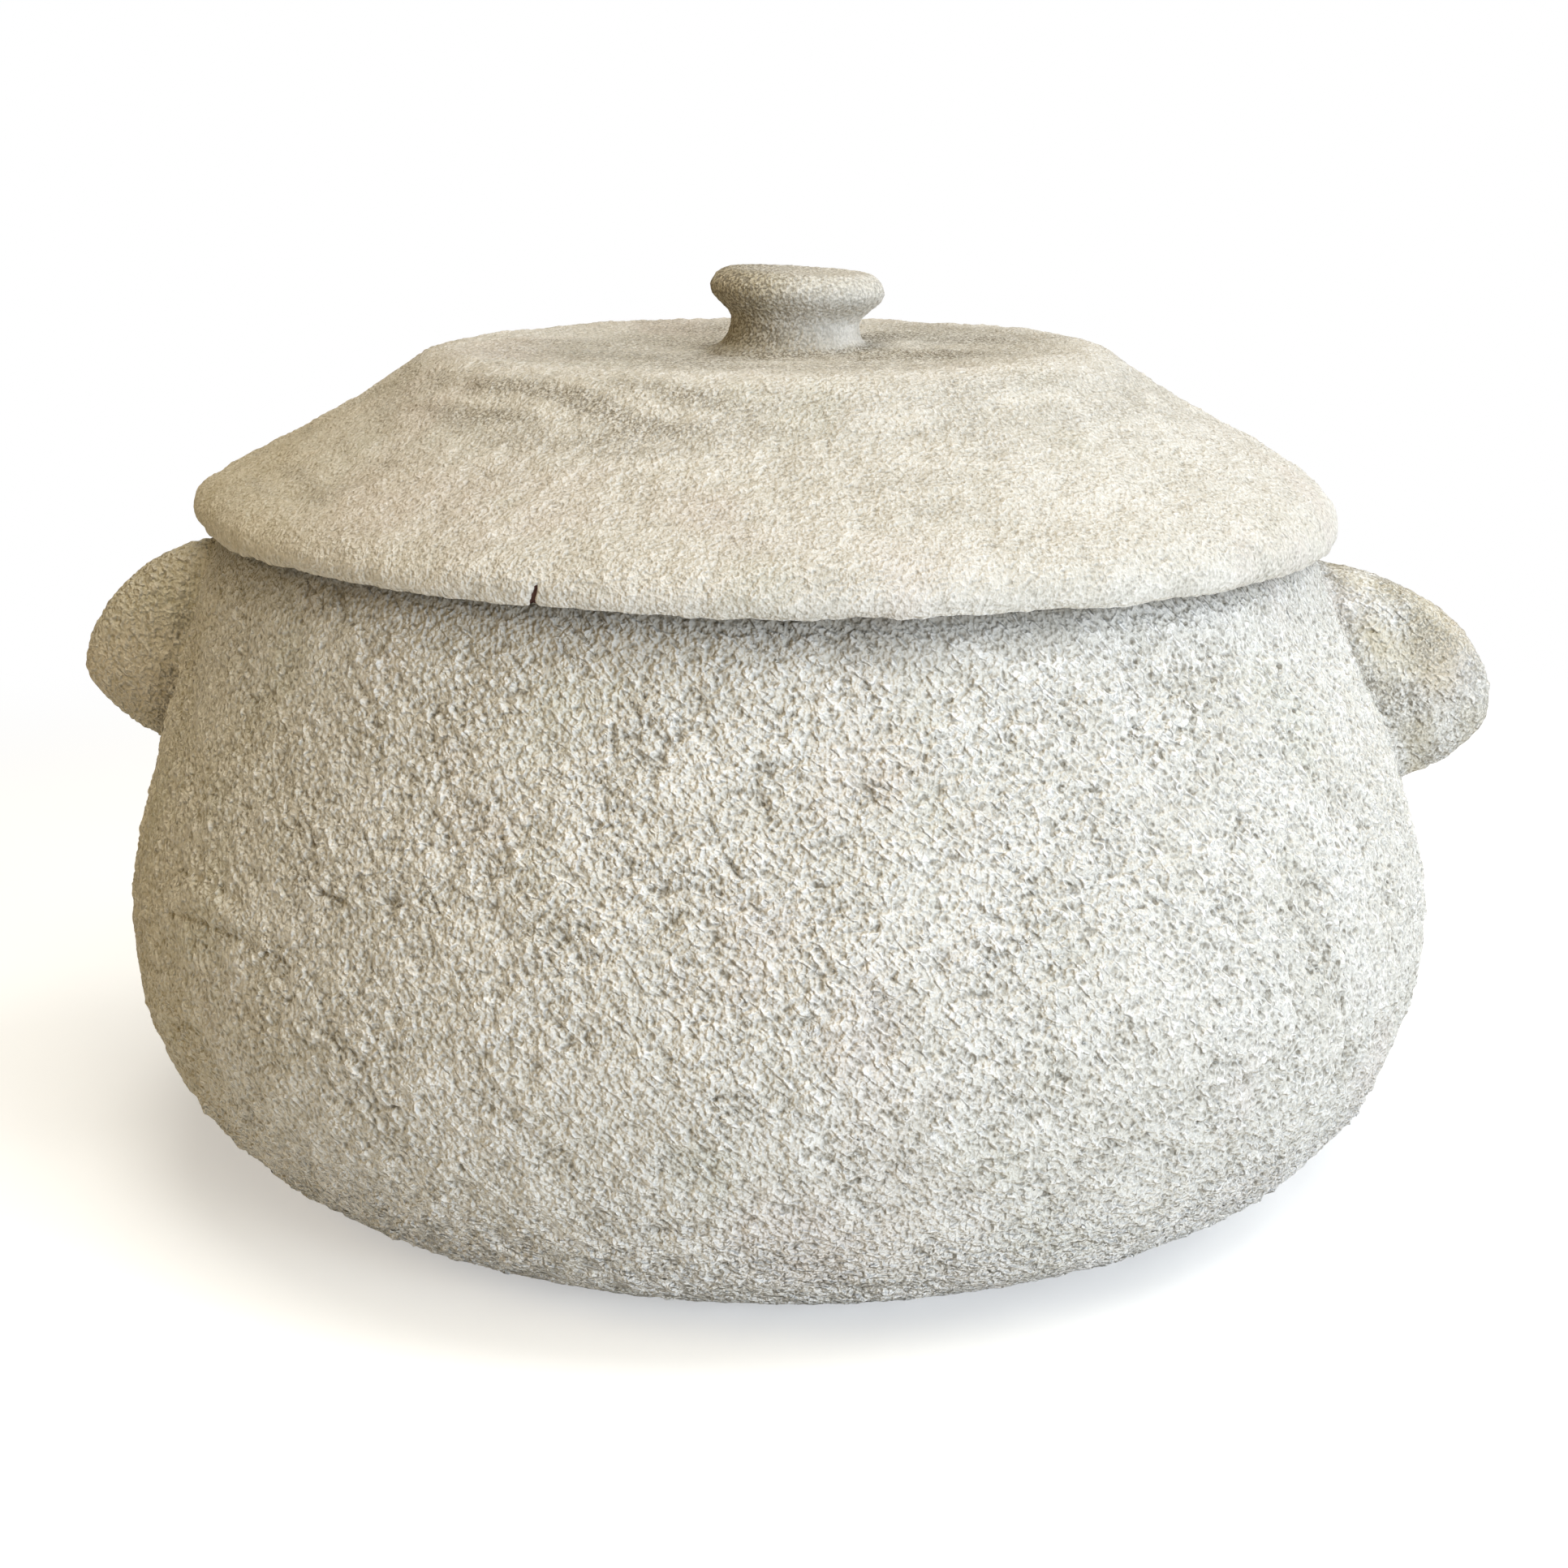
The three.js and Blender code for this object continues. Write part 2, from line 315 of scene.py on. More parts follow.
class Lug:
    """A blunt ear on the bowl's side, with a round outline that falls shorter than it rises."""

    def __init__(self, side, drop, reach, rise, fall, roundness):
        tip = RIM_HEIGHT - drop
        radius, height = np.array(bowl_outline()).T
        wall = np.interp(tip, height, radius)
        root = np.interp(tip + rise, height, radius) - OVERCUT
        self.side = side
        self.rise = rise
        self.centre = np.array([root, 0, tip])
        self.half = np.array([wall + reach - root, LUG_THICKNESS / 2, fall])
        self.power = np.array([roundness, LUG_FLATNESS, roundness])

    def halves(self, height):
        """Half sizes above and below the tip."""
        return np.where(height > 0, self.half * (1, 1, self.rise / self.half[2]), self.half)

    def distance(self, p):
        found = np.full(len(p), FAR)
        near = self.side * p[:, 0] > self.centre[0] - OVERCUT
        q = p[near] * (self.side, 1, 1) - self.centre
        q[:, 0] = np.maximum(q[:, 0], 0)
        half = self.halves(q[:, 2:])
        q = np.abs(q) / half + TINY
        total = (q**self.power).sum(1)
        slope = self.power * q ** (self.power - 1) / half
        share = 1 / self.power[0]
        steep = total ** (share - 1) * share * np.linalg.norm(slope, axis=1)
        found[near] = (total**share - 1) / steep
        return found

    def blank(self):
        arc = np.linspace(0, math.pi, LUG_ROWS)
        points, faces = lathe([(math.sin(t), -math.cos(t)) for t in arc], 2 * LUG_ROWS)
        points = points[:, [0, 2, 1]] * (1, 1, -1)
        points = points * self.halves(points[:, 2:])
        points = (points + self.centre) * (self.side, 1, 1)
        return points, [f[:: self.side] for f in faces]


class Placed:
    """A turned solid set off the axis and leaning to the right."""

    def __init__(self, solid, offset, tilt):
        self.solid = solid
        self.offset = np.array(offset)
        c, s = math.cos(tilt), math.sin(tilt)
        self.turn = np.array([[c, 0, s], [0, 1, 0], [-s, 0, c]])
        self.reach = solid.outline[:, 0].max() + FIELD_MARGIN

    def distance(self, p):
        found = np.full(len(p), FAR)
        near = np.hypot(*(p - self.offset)[:, :2].T) < self.reach
        found[near] = self.solid.distance((p[near] - self.offset) @ self.turn)
        return found

    def blank(self):
        points, faces = self.solid.blank()
        return points @ self.turn.T + self.offset, faces


def joined(solids, blend):
    """The distance to several solids, with a fillet between them."""

    def distance(p):
        total = solids[0].distance(p)
        for solid in solids[1:]:
            other = solid.distance(p)
            near = np.maximum(blend - np.abs(total - other), 0) / blend
            total = np.minimum(total, other) - near * near * blend / 4
        return total

    return distance


def outward(distance, p):
    """Unit direction in which a distance grows."""
    grown = sum(distance(p + PROBE * corner)[:, None] * corner for corner in CORNERS)
    return grown / np.linalg.norm(grown, axis=1, keepdims=True)


# Meshes

def added(name, data):
    """A new object in the scene."""
    made = bpy.data.objects.new(name, data)
    bpy.context.scene.collection.objects.link(made)
    return made


def mesh_of(name, points, faces):
    mesh = bpy.data.meshes.new(name)
    mesh.from_pydata(points.tolist() if isinstance(points, np.ndarray) else points, [], faces)
    return mesh


def numbers(items, key, width, kind):
    found = np.empty(len(items) * width, kind)
    items.foreach_get(key, found)
    return found.reshape(-1, width) if width > 1 else found


def even_skin(solids, distance, grain):
    """Points and four-sided faces of about one size all over the joined solids."""
    points, faces = [], []
    for solid in solids:
        own, made = solid.blank()
        faces += [[c + len(points) for c in face] for face in made]
        points += own.tolist()
    blank = added("blank", mesh_of("blank", points, faces))
    remesh = blank.modifiers.new("even", "REMESH")
    remesh.mode = "VOXEL"
    remesh.voxel_size = grain
    made = blank.evaluated_get(bpy.context.evaluated_depsgraph_get()).to_mesh()
    points = numbers(made.vertices, "co", 3, np.float32).astype(float)
    quads = numbers(made.loops, "vertex_index", 1, np.int32).reshape(-1, 4)
    bpy.data.objects.remove(blank)
    for _ in range(SETTLE_ROUNDS):
        points -= distance(points)[:, None] * outward(distance, points)
    return points, quads


class Skin:
    """A mesh under construction: points, faces as corner lists, and values kept at the points."""

    def __init__(self, points, corners, counts):
        self.points = points
        self.corners = corners
        self.counts = counts

    def add(self, points, faces):
        """Adds points and faces, whose corners count from the mesh's first point."""
        self.points = np.vstack([self.points, points])
        self.corners = np.concatenate([self.corners, np.concatenate(faces).astype(np.int32)])
        self.counts = np.concatenate([self.counts, [len(f) for f in faces]])

    def object(self, name, material, **values):
        """The finished piece, smooth, with its values as attributes, 0 on points that were added later."""
        mesh = bpy.data.meshes.new(name)
        mesh.vertices.add(len(self.points))
        mesh.vertices.foreach_set("co", self.points.astype(np.float32).ravel())
        mesh.loops.add(len(self.corners))
        mesh.loops.foreach_set("vertex_index", self.corners.astype(np.int32))
        mesh.polygons.add(len(self.counts))
        mesh.polygons.foreach_set("loop_start", np.cumsum(self.counts) - self.counts)
        mesh.update(calc_edges=True)
        mesh.validate()
        mesh.shade_smooth()
        for key, value in values.items():
            padded = np.zeros(len(self.points), np.float32)
            padded[: len(value)] = value
            mesh.attributes.new(key, "FLOAT", "POINT").data.foreach_set("value", padded)
        mesh.materials.append(material)
        return added(name, mesh)


def trimmed(points, quads, low, high=None):
    """A mesh cut level at one or two heights. Returns it with its cut edges, each in order of turn."""
    top = high if high is not None else points[:, 2].max() + 1
    near = (points[:, 2] > low - TRIM_MARGIN) & (points[:, 2] < top + TRIM_MARGIN)
    mesh = mesh_of("trim", points, quads[near[quads].all(1)].tolist())
    body = bmesh.new()
    body.from_mesh(mesh)
    for height, way in ((low, -1),) if high is None else ((low, -1), (high, 1)):
        bmesh.ops.bisect_plane(
            body,
            geom=body.verts[:] + body.edges[:] + body.faces[:],
            dist=CUT_TOLERANCE,
            plane_co=(0, 0, height),
            plane_no=(0, 0, way),
            clear_outer=True,
        )
    bmesh.ops.delete(body, geom=[v for v in body.verts if not v.link_faces], context="VERTS")
    body.verts.index_update()
    edge = np.array([v.index for v in body.verts if v.is_boundary])
    body.to_mesh(mesh)
    body.free()
    skin = Skin(
        numbers(mesh.vertices, "co", 3, np.float32).astype(float),
        numbers(mesh.loops, "vertex_index", 1, np.int32),
        numbers(mesh.polygons, "loop_total", 1, np.int32),
    )
    bpy.data.meshes.remove(mesh)
    edge = edge[np.argsort(turn_of(skin.points[edge]))]
    heights = skin.points[edge, 2]
    return (skin, *(edge[np.abs(heights - level) < PROBE] for level in (low, high) if level is not None))


def strip(upper, lower):
    """Quads between two closed rows of as many points."""
    return [np.array(f) for f in zip(upper, np.roll(upper, -1), np.roll(lower, -1), lower)]


def zipped(points, upper, lower):
    """Triangles between two closed rows in order of turn, of any counts."""
    turn = turn_of(points)
    a, b = list(upper) + [upper[0]], list(lower) + [lower[0]]
    at, bt = turn[a], turn[b]
    at[-1] += 2 * math.pi
    bt[-1] += 2 * math.pi
    i = j = 0
    faces = []
    while i < len(upper) or j < len(lower):
        if j == len(lower) or (i < len(upper) and at[i + 1] <= bt[j + 1]):
            faces.append(np.array([a[i], a[i + 1], b[j]]))
            i += 1
        else:
            faces.append(np.array([a[i], b[j + 1], b[j]]))
            j += 1
    return faces


def line_inside(skin, edge, outline):
    """Adds rows of points under a coat, from its cut edge along an outline. Returns the last row."""
    ring = ring_of(turn_of(skin.points[edge]))
    row = edge
    for radius, height in outline:
        made = np.column_stack([radius * ring, np.full(len(edge), height)])
        after = np.arange(len(edge)) + len(skin.points)
        skin.add(made, strip(row, after))
        row = after
    return row


# How the pot stands: its rim falls to the right under a level crown, its lid drifts left and its foot right
RIM_FALL = 0.0185
RIM_FALL_END = 0.025
LID_DRIFT = -0.0028
LID_DRIFT_START = 0.7 * RIM_HEIGHT
FOOT_DRIFT = 0.003
FOOT_DRIFT_END = 0.3 * RIM_HEIGHT
LUG_PULL = 0.0026
LUG_PULL_REACH = (0.165, 0.200)
CROWN_SAG = 0.0018
CROWN_SAG_HEIGHTS = (CROWN_HEIGHT - 0.012, CROWN_HEIGHT + 0.008)


def leaned(p):
    """Points moved as the handmade pot leans. Its left lug is drawn in too, and its crown sags."""
    x, y, z = p.T
    tilt = RIM_FALL * ease(z, 0, RIM_HEIGHT) * (1 - ease(z, RIM_HEIGHT, RIM_HEIGHT + RIM_FALL_END))
    drift = LID_DRIFT * ease(z, LID_DRIFT_START, RIM_HEIGHT) + FOOT_DRIFT * ease(-z, -FOOT_DRIFT_END, 0)
    drift += LUG_PULL * ease(-x, *LUG_PULL_REACH)
    sag = CROWN_SAG * ease(z, *CROWN_SAG_HEIGHTS)
    return np.column_stack([x + drift, y, z - tilt * x - sag])


# Relief of the bowl's coat. A spacing is about how far apart a noise has its features.
BOWL_GIRTH = 2 * math.pi * BELLY_RADIUS
SEAM_START = math.radians(150)
STROKE_SLANTS = {"slant": 40, "shallow": 13, "steep": 70}
WAVER = 0.0018
WAVER_SPACING = 0.010
PATCH_SPACING = 0.055
PATCH_RISE = 0.016
PATCH_TURN = 0.4
SHALLOW_HEIGHTS = (0.015, 0.05)
PEBBLY_HEIGHTS = (0.11, 0.16)
STEEP_TURNS = (0.45, 1.0)
GAP_SHARPNESS = 0.75
CRUMB_SPACING = 0.0014
PEBBLE_SPACING = 0.0028
LUMP_SPACING = 0.0085
SMALL_LUMP_SPACING = 0.0046
ROUGH_SPACING = 0.022
LUG_CALM = 0.4
GRAIN_HEIGHT = 0.00074
LUMP_HEIGHT = 0.00060
CREVICE_DEPTH = 0.0006
DEEPEST = 0.0018
PIT_DEPTH = 0.0008
RIM_GROOVE = 0.0007
RIM_GROOVE_DROP = 0.006
RIM_FADE = 0.02
FOOT_FADE_HEIGHTS = (-0.002, 0.022)

# Cracks and ridges in the bowl's coat: each one's width, and its line of turns in degrees and heights
CRACKS = [
    (0.0011, [(-59, 0.0895), (-53, 0.0926), (-49, 0.0932), (-45, 0.0926), (-41, 0.0912)]),
    (0.0010, [(-38.5, 0.1096), (-34.8, 0.1084), (-33.2, 0.1114), (-30, 0.1102)]),
    (0.0010, [(-5.2, 0.1363), (-4, 0.1304), (-4.2, 0.1286), (-2.5, 0.1238)]),
    (0.0011, [(50, 0.0782), (51.2, 0.0672), (52.5, 0.0550)]),
    (0.0009, [(55.2, 0.1665), (52.8, 0.1536), (51.2, 0.1422)]),
    (0.0018, [(48.2, 0.0921), (47.8, 0.0852)]),
    (0.0012, [(-1.2, 0.1420), (-0.6, 0.1380)]),
    (0.0012, [(1.6, 0.1510), (2.6, 0.1495)]),
    (0.0014, [(-9.8, 0.0385), (-8.6, 0.0372)]),
    (0.0013, [(-3.4, 0.0272), (-2.2, 0.0268)]),
    (0.0015, [(-58.5, 0.1015), (-56.5, 0.1005)]),
    (0.0011, [(143, 0.128), (147, 0.120), (148, 0.111)]),
    (0.0012, [(-136, 0.082), (-129, 0.078), (-125, 0.080)]),
]
CRACK_DEPTH = 0.0008
CRACK_BREAKS = 0.006
RAGGED = 0.0005
RAGGED_REACH = 0.02
RIDGES = [
    (0.0050, [(-56, 0.0976), (-51.2, 0.0972), (-47, 0.0965)]),
    (0.0055, [(158, 0.060), (165, 0.057)]),
]
RIDGE_HEIGHT = 0.0012


def strokes(u, v, degrees, length, width, seed):
    """Noise drawn out along lines that fall to the right at an angle."""
    c, s = math.cos(math.radians(degrees)), math.sin(math.radians(degrees))
    along, across = u * c - v * s, u * s + v * c
    return noise(np.stack([along / length, across / width, np.full(len(u), 0.5)], 1), seed)


def with_gaps(value, gain, level):
    """Round tops with narrow gaps between them, made from noise."""
    return gain * np.abs(value) ** GAP_SHARPNESS - level


def swells(p, heights, spacings, seeds):
    """A slow unevenness in several layers of noise."""
    return sum(height * noise(p / spacing, seed) for height, spacing, seed in zip(heights, spacings, seeds))


def all_round(field, turn, u, v, girth):
    """A field of the unrolled surface, faded into itself where it comes round at the back."""
    value = field(u, v)
    back = turn > SEAM_START
    share = ease(turn[back], SEAM_START, math.pi)
    value[back] += share * (field(u[back] - girth, v[back]) - value[back])
    return value


def pits(p, spacing, share, size, seed):
    """Small round holes, from 0 to 1 deep, in loose groups."""
    away, number = spots(p / spacing, seed)
    grouped = ease(noise(p / (4 * spacing), seed + 2), -0.2, 0.5)
    reach = size / spacing * (0.5 + number)
    return np.where(number > 1 - share, 1 - ease(away, 0.35 * reach, reach), 0) * grouped


def off_line(p, path):
    """Distance to a line on the wall, with a ragged edge."""
    place = np.column_stack([turn_of(p) * BELLY_RADIUS, p[:, 2]])
    points = np.array([(math.radians(degrees) * BELLY_RADIUS, height) for degrees, height in path])
    nearest = np.full(len(p), FAR)
    for start, end in zip(points[:-1], points[1:]):
        edge = end - start
        share = np.clip((place - start) @ edge / (edge @ edge), 0, 1)
        nearest = np.minimum(nearest, np.linalg.norm(place - start - share[:, None] * edge, axis=1))
    near = nearest < RAGGED_REACH
    nearest[near] += RAGGED * noise(p[near] / 0.004, 35) + RAGGED * noise(p[near] / 0.0016, 36)
    return nearest


def drawn_lines(p, lines):
    """Lines on the wall, from 0 beside them to 1 in their middle."""
    shares = [1 - ease(off_line(p, path), 0.2 * width, width) for width, path in lines]
    return np.max(shares, axis=0)


def unrolled(p, turn):
    """Places along the bowl's girth and up its wall, wavering a little."""
    outline = np.array(bowl_outline())
    lengths = np.concatenate([[0], np.cumsum(np.linalg.norm(np.diff(outline, axis=0), axis=1))])
    u = turn * BELLY_RADIUS + WAVER * noise(p / WAVER_SPACING, 11)
    v = np.interp(p[:, 2], outline[:, 1], lengths) + WAVER * noise(p / WAVER_SPACING, 15)
    return u, v


def brushed(turn, u, v, on_wall, shallow, steep):
    """Grain drawn out by the brush: slanted, almost level near the foot and steep at the right."""
    weights = {"shallow": shallow, "steep": steep, "slant": 1 - shallow - steep}
    total = np.sqrt(sum(w * w for w in weights.values()))
    grains = np.zeros(len(u))
    for name, weight in weights.items():
        degrees = STROKE_SLANTS[name]
        here = weight * on_wall > 0.01

        def field(a, b):
            packed = with_gaps(strokes(a, b, degrees, length=0.0056, width=0.0022, seed=21), 2.2, 0.8)
            loose = strokes(a, b, degrees, length=0.0036, width=0.0014, seed=22)
            dragged = strokes(a, b, degrees, length=0.040, width=0.0055, seed=23)
            return 0.9 * packed + 0.6 * loose + 0.4 * dragged

        grains[here] += (weight / total)[here] * all_round(field, turn[here], u[here], v[here], BOWL_GIRTH)
    return grains


def bowl_relief(p, off_wall):
    """Height of the coat over its even surface, and its grain alone from about -1 to 1."""
    turn = turn_of(p)
    u, v = unrolled(p, turn)
    on_wall = 1 - off_wall
    calm = 1 - LUG_CALM * off_wall
    patch = noise(p / PATCH_SPACING, 12)
    level = p[:, 2] + PATCH_RISE * patch
    shallow = 1 - ease(level, *SHALLOW_HEIGHTS)
    steep = ease(turn + PATCH_TURN * patch, *STEEP_TURNS) * (1 - shallow)

    # Grain: strokes on the wall, pebbles on the lugs and under the rim, crumbs all over
    grains = brushed(turn, u, v, on_wall, shallow, steep)
    pebbles = with_gaps(noise(p / PEBBLE_SPACING, 24), 2.1, 0.75)
    crumbs = noise(p / CRUMB_SPACING, 25)
    drawn = on_wall * (0.75 - 0.45 * ease(level, *PEBBLY_HEIGHTS) + 0.4 * shallow)
    drawn *= 1 + 0.3 * noise(p / 0.04, 29)
    fine = (drawn * grains + (1.1 - drawn) * pebbles + 0.7 * crumbs) * calm
    rough = np.clip(0.9 + 0.7 * noise(p / ROUGH_SPACING, 26), 0.35, 1.5)
    lumps = (0.6 * noise(p / SMALL_LUMP_SPACING, 17) + noise(p / LUMP_SPACING, 18)) * calm

    # Marks: crevices in places, pits in groups, broken cracks
    split = strokes(u, v, STROKE_SLANTS["slant"], length=0.011, width=0.0042, seed=27)
    crevices = (1 - ease(np.abs(split), 0, 0.12)) * ease(noise(p / 0.014, 28), 0.05, 0.4) * on_wall
    holes = pits(p, spacing=0.0095, share=0.3, size=0.0011, seed=31)
    cracks = drawn_lines(p, CRACKS) * ease(noise(p / CRACK_BREAKS, 37), -0.8, 0.1)

    broad = swells(p, heights=(0.0010, 0.0008, 0.0006), spacings=(0.09, 0.035, 0.015), seeds=(13, 14, 16))
    raised = LUMP_HEIGHT * lumps + GRAIN_HEIGHT * fine * rough + RIDGE_HEIGHT * drawn_lines(p, RIDGES)
    sunk = CREVICE_DEPTH * crevices + PIT_DEPTH * holes + CRACK_DEPTH * cracks
    sunk += RIM_GROOVE * (1 - ease(RIM_HEIGHT - p[:, 2], 0, RIM_GROOVE_DROP))
    shade = np.clip(0.65 * fine * rough + 0.15 * lumps, -1, 1) - 0.5 * crevices - 0.7 * holes - 0.6 * cracks
    inner = ease(RIM_HEIGHT - p[:, 2], 0, RIM_FADE) * ease(p[:, 2], *FOOT_FADE_HEIGHTS)
    return np.maximum(broad * inner + raised * (0.2 + 0.8 * inner) - sunk, -DEEPEST), shade


# Relief of the lid's coat
LID_GIRTH = 2 * math.pi * 0.11
LID_PIT_DEPTH = 0.5 * PIT_DEPTH
LID_DEEPEST = 0.6 * LID_COAT
LID_WAVER = 0.002
SMOOTH_EDGE = (0.004, 0.012)
SAND_HEIGHT = 0.00034
SAND_SPACING = 0.0012
SAND_GAP_SPACING = 0.0021
LID_LUMP_SPACING = 0.0085
LID_SMALL_LUMP_SPACING = 0.0042


def lid_relief(p, on_knob):
    """Height of the coat over its even surface, and its grain alone from about -1 to 1."""
    turn = turn_of(p)
    u = turn * LID_GIRTH / (2 * math.pi) + LID_WAVER * noise(p / 0.02, 51)
    v = radius_of(p) + p[:, 2]

    def field(a, b):
        coarse = strokes(a, b, degrees=0, length=0.012, width=0.0020, seed=52)
        return coarse + 0.6 * strokes(a, b, degrees=6, length=0.008, width=0.0014, seed=53)

    drawn = all_round(field, turn, u, v, LID_GIRTH)
    marks = ease(noise(p / 0.04, 59), -0.1, 0.5)
    sandy = noise(p / SAND_SPACING, 54) + 0.6 * (2.4 * np.abs(noise(p / SAND_GAP_SPACING, 55)) - 0.6)
    smooth = 1 - ease(p[:, 2] - SEAT_HEIGHT, *SMOOTH_EDGE)
    fine = (0.9 * sandy + 0.7 * marks * drawn) * (1 - 0.5 * smooth) * (1 - 0.35 * on_knob)
    lumps = noise(p / LID_SMALL_LUMP_SPACING, 60) + 1.2 * noise(p / LID_LUMP_SPACING, 61)
    lumps *= 1 - 0.8 * on_knob
    broad = swells(p, heights=(0.0007, 0.0006, 0.00035), spacings=(0.075, 0.03, 0.015), seeds=(56, 57, 62))
    broad *= 1 - 0.9 * on_knob
    holes = pits(p, spacing=0.011, share=0.25, size=0.0008, seed=58)
    height = broad + SAND_HEIGHT * (fine + 1.3 * lumps) - LID_PIT_DEPTH * holes
    return np.maximum(height, -LID_DEEPEST), np.clip(0.4 * fine + 0.2 * lumps, -1, 1) - 0.8 * holes


# Materials

class Nodes:
    """The nodes of a material or of the sky, in short calls that each add a node and return its output."""

    def __init__(self, owner):
        self.owner = owner
        owner.use_nodes = True
        self.tree = owner.node_tree
        self.tree.nodes.clear()

    def add(self, kind, inputs, output=0, **options):
        node = self.tree.nodes.new("ShaderNode" + kind)
        for key, value in options.items():
            setattr(node, key, value)
        for key, value in inputs.items():
            if isinstance(value, bpy.types.NodeSocket):
                self.tree.links.new(value, node.inputs[key])
            else:
                node.inputs[key].default_value = value
        return node.outputs[output]

    def place(self):
        return self.add("TexCoord", {}, "Object")

    def height(self, place):
        return self.add("SeparateXYZ", {"Vector": place}, "Z")

    def value(self, name):
        return self.add("Attribute", {}, "Fac", attribute_name=name)

    def noise(self, place, size, detail=2.0, roughness=0.5):
        inputs = {"Vector": place, "Scale": 1 / size, "Detail": detail, "Roughness": roughness}
        return self.add("TexNoise", inputs)

    def math(self, operation, a, b=0.0):
        return self.add("Math", {0: a, 1: b}, operation=operation)

    def vector(self, operation, a, b=(0.0, 0.0, 0.0)):
        """Sum or product of two vectors, or the first one's length."""
        output = "Value" if operation == "LENGTH" else "Vector"
        return self.add("VectorMath", {0: a, 1: b}, output, operation=operation)

    def ease(self, value, low, high, start=0.0, end=1.0):
        inputs = {"Value": value, "From Min": low, "From Max": high, "To Min": start, "To Max": end}
        return self.add("MapRange", inputs, interpolation_type="SMOOTHSTEP")

    def mix(self, share, a, b, kind="MIX"):
        return self.add("Mix", {0: share, 6: a, 7: b}, 2, data_type="RGBA", blend_type=kind)

    def blend(self, a, b, share):
        """Two heights added in shares that make 1."""
        return self.math("ADD", self.math("MULTIPLY", a, 1 - share), self.math("MULTIPLY", b, share))

    def bump(self, height, depth, strength=1.0):
        return self.add("Bump", {"Height": height, "Distance": depth, "Strength": strength})

    def shader_mix(self, share, a, b):
        return self.add("MixShader", {0: share, 1: a, 2: b})

    def output(self, shader, kind="OutputMaterial"):
        out = self.tree.nodes.new("ShaderNode" + kind)
        self.tree.links.new(shader, out.inputs[0])
        return self.owner

    def finish(self, colour, roughness, normal, specular):
        inputs = {"Base Color": colour, "Roughness": roughness, "Normal": normal}
        return self.output(self.add("BsdfPrincipled", {**inputs, "Specular IOR Level": specular}))


WHITE = (0.91, 0.88, 0.82, 1)
CHALK = (0.74, 0.715, 0.65, 1)
BONE = (0.67, 0.64, 0.565, 1)
BLUSH = (0.70, 0.62, 0.56, 1)
LICHEN = (0.62, 0.62, 0.52, 1)
DARK_SHADE_AND_DIRT = (0.25, 0.225, 0.175, 1)
WARM_SHADE_COLOUR = (0.49, 0.38, 0.145, 1)
SHADE_UNDER_LID = (0.17, 0.15, 0.115, 1)
CLAY = (0.29, 0.115, 0.065, 1)
CLAY_PALE = (0.42, 0.20, 0.12, 1)
CLAY_DARK = (0.14, 0.06, 0.04, 1)
CLAY_WET = (0.085, 0.042, 0.033, 1)
BOWL_TONE = (1, 0.99, 0.98, 1)
LID_TONE = (0.89, 0.867, 0.838, 1)

ELSEWHERE = (0.31, 0.17, 0.53)
PLASTER_SPECULAR = 0.12


def plaster(name, grain, depth, gain, tone):
    """Pale gritty plaster: mottled, with painted shade and some dirt in the hollows and a painted highlight
    on the tops; where told, dirt and painted shade, warm painted shade, painted shade under the lid, abraded
    white and painted light, or bare clay.
    """
    n = Nodes(bpy.data.materials.new(name))
    place = n.place()
    moved = n.add("Mapping", {"Vector": place, "Location": ELSEWHERE})
    base = n.mix(n.ease(n.noise(place, size=0.02, detail=5, roughness=0.6), 0.35, 0.65), BONE, CHALK)
    base = n.mix(n.ease(n.noise(place, size=0.055, detail=3), 0.52, 0.72, 0, 0.5), base, BLUSH)
    base = n.mix(n.ease(n.noise(moved, size=0.045, detail=3), 0.55, 0.75, 0, 0.45), base, LICHEN)

    height = grain(n, place)
    relief = n.math("MULTIPLY", n.value("relief"), gain)
    level = n.math("ADD", n.ease(height, 0.3, 0.7, -gain, gain), relief)
    patchy = n.ease(n.noise(moved, size=0.012, detail=4, roughness=0.6), 0.3, 0.65)
    abraded_and_lit = n.math("MULTIPLY", n.value("abraded_and_lit"), patchy)
    # Painted shade in the hollows, with some dirt
    base = n.mix(n.ease(level, -0.15, -1.3, 0, 0.95), base, DARK_SHADE_AND_DIRT)
    # Painted highlight on the tops, and white where abraded or where light is painted
    base = n.mix(n.math("MAXIMUM", n.ease(level, -0.1, 0.8, 0, 0.7), abraded_and_lit), base, WHITE)

    speckle = n.ease(n.noise(moved, size=0.0008, detail=1.5), 0.40, 0.58, 1.7, 0.25)
    dirt_and_shade = n.math("MINIMUM", n.math("MULTIPLY", n.value("dirt_and_shade"), speckle), 0.95)
    # Painted warm shade
    base = n.mix(n.value("warm_shade"), base, WARM_SHADE_COLOUR)
    # Speckled dirt and painted shade where told
    base = n.mix(dirt_and_shade, base, DARK_SHADE_AND_DIRT)
    # Painted shade under the lid's edge, with some dirt
    base = n.mix(n.value("lid_shade_and_dirt"), base, SHADE_UNDER_LID)
    base = n.mix(1.0, base, tone, "MULTIPLY")

    grit = n.noise(moved, size=0.0007, detail=2)
    ragged = n.ease(n.noise(place, size=0.0012, detail=2), 0.2, 0.8, -0.2, 0.2)
    chip = n.ease(n.math("ADD", n.value("bare"), ragged), 0.45, 0.6)
    base = n.mix(chip, base, n.mix(n.ease(grit, 0.5, 1.0), CLAY_WET, CLAY_DARK))
    rough = n.ease(grit, 0.2, 0.8, 0.98, 0.84)
    uneven = n.math("SUBTRACT", 1.0, n.value("polish"))
    return n.finish(base, rough, n.bump(height, depth, uneven), PLASTER_SPECULAR)


RICE_SIZE = (0.0038, 0.0014, 0.0014)
RICE_FALL = 40
RICE_FALL_AT_FOOT = 10
FOOT_STROKE_HEIGHTS = (0.06, 0.02)
LINE_WIDTH = 0.0010
LINE_TURNS = 140.0


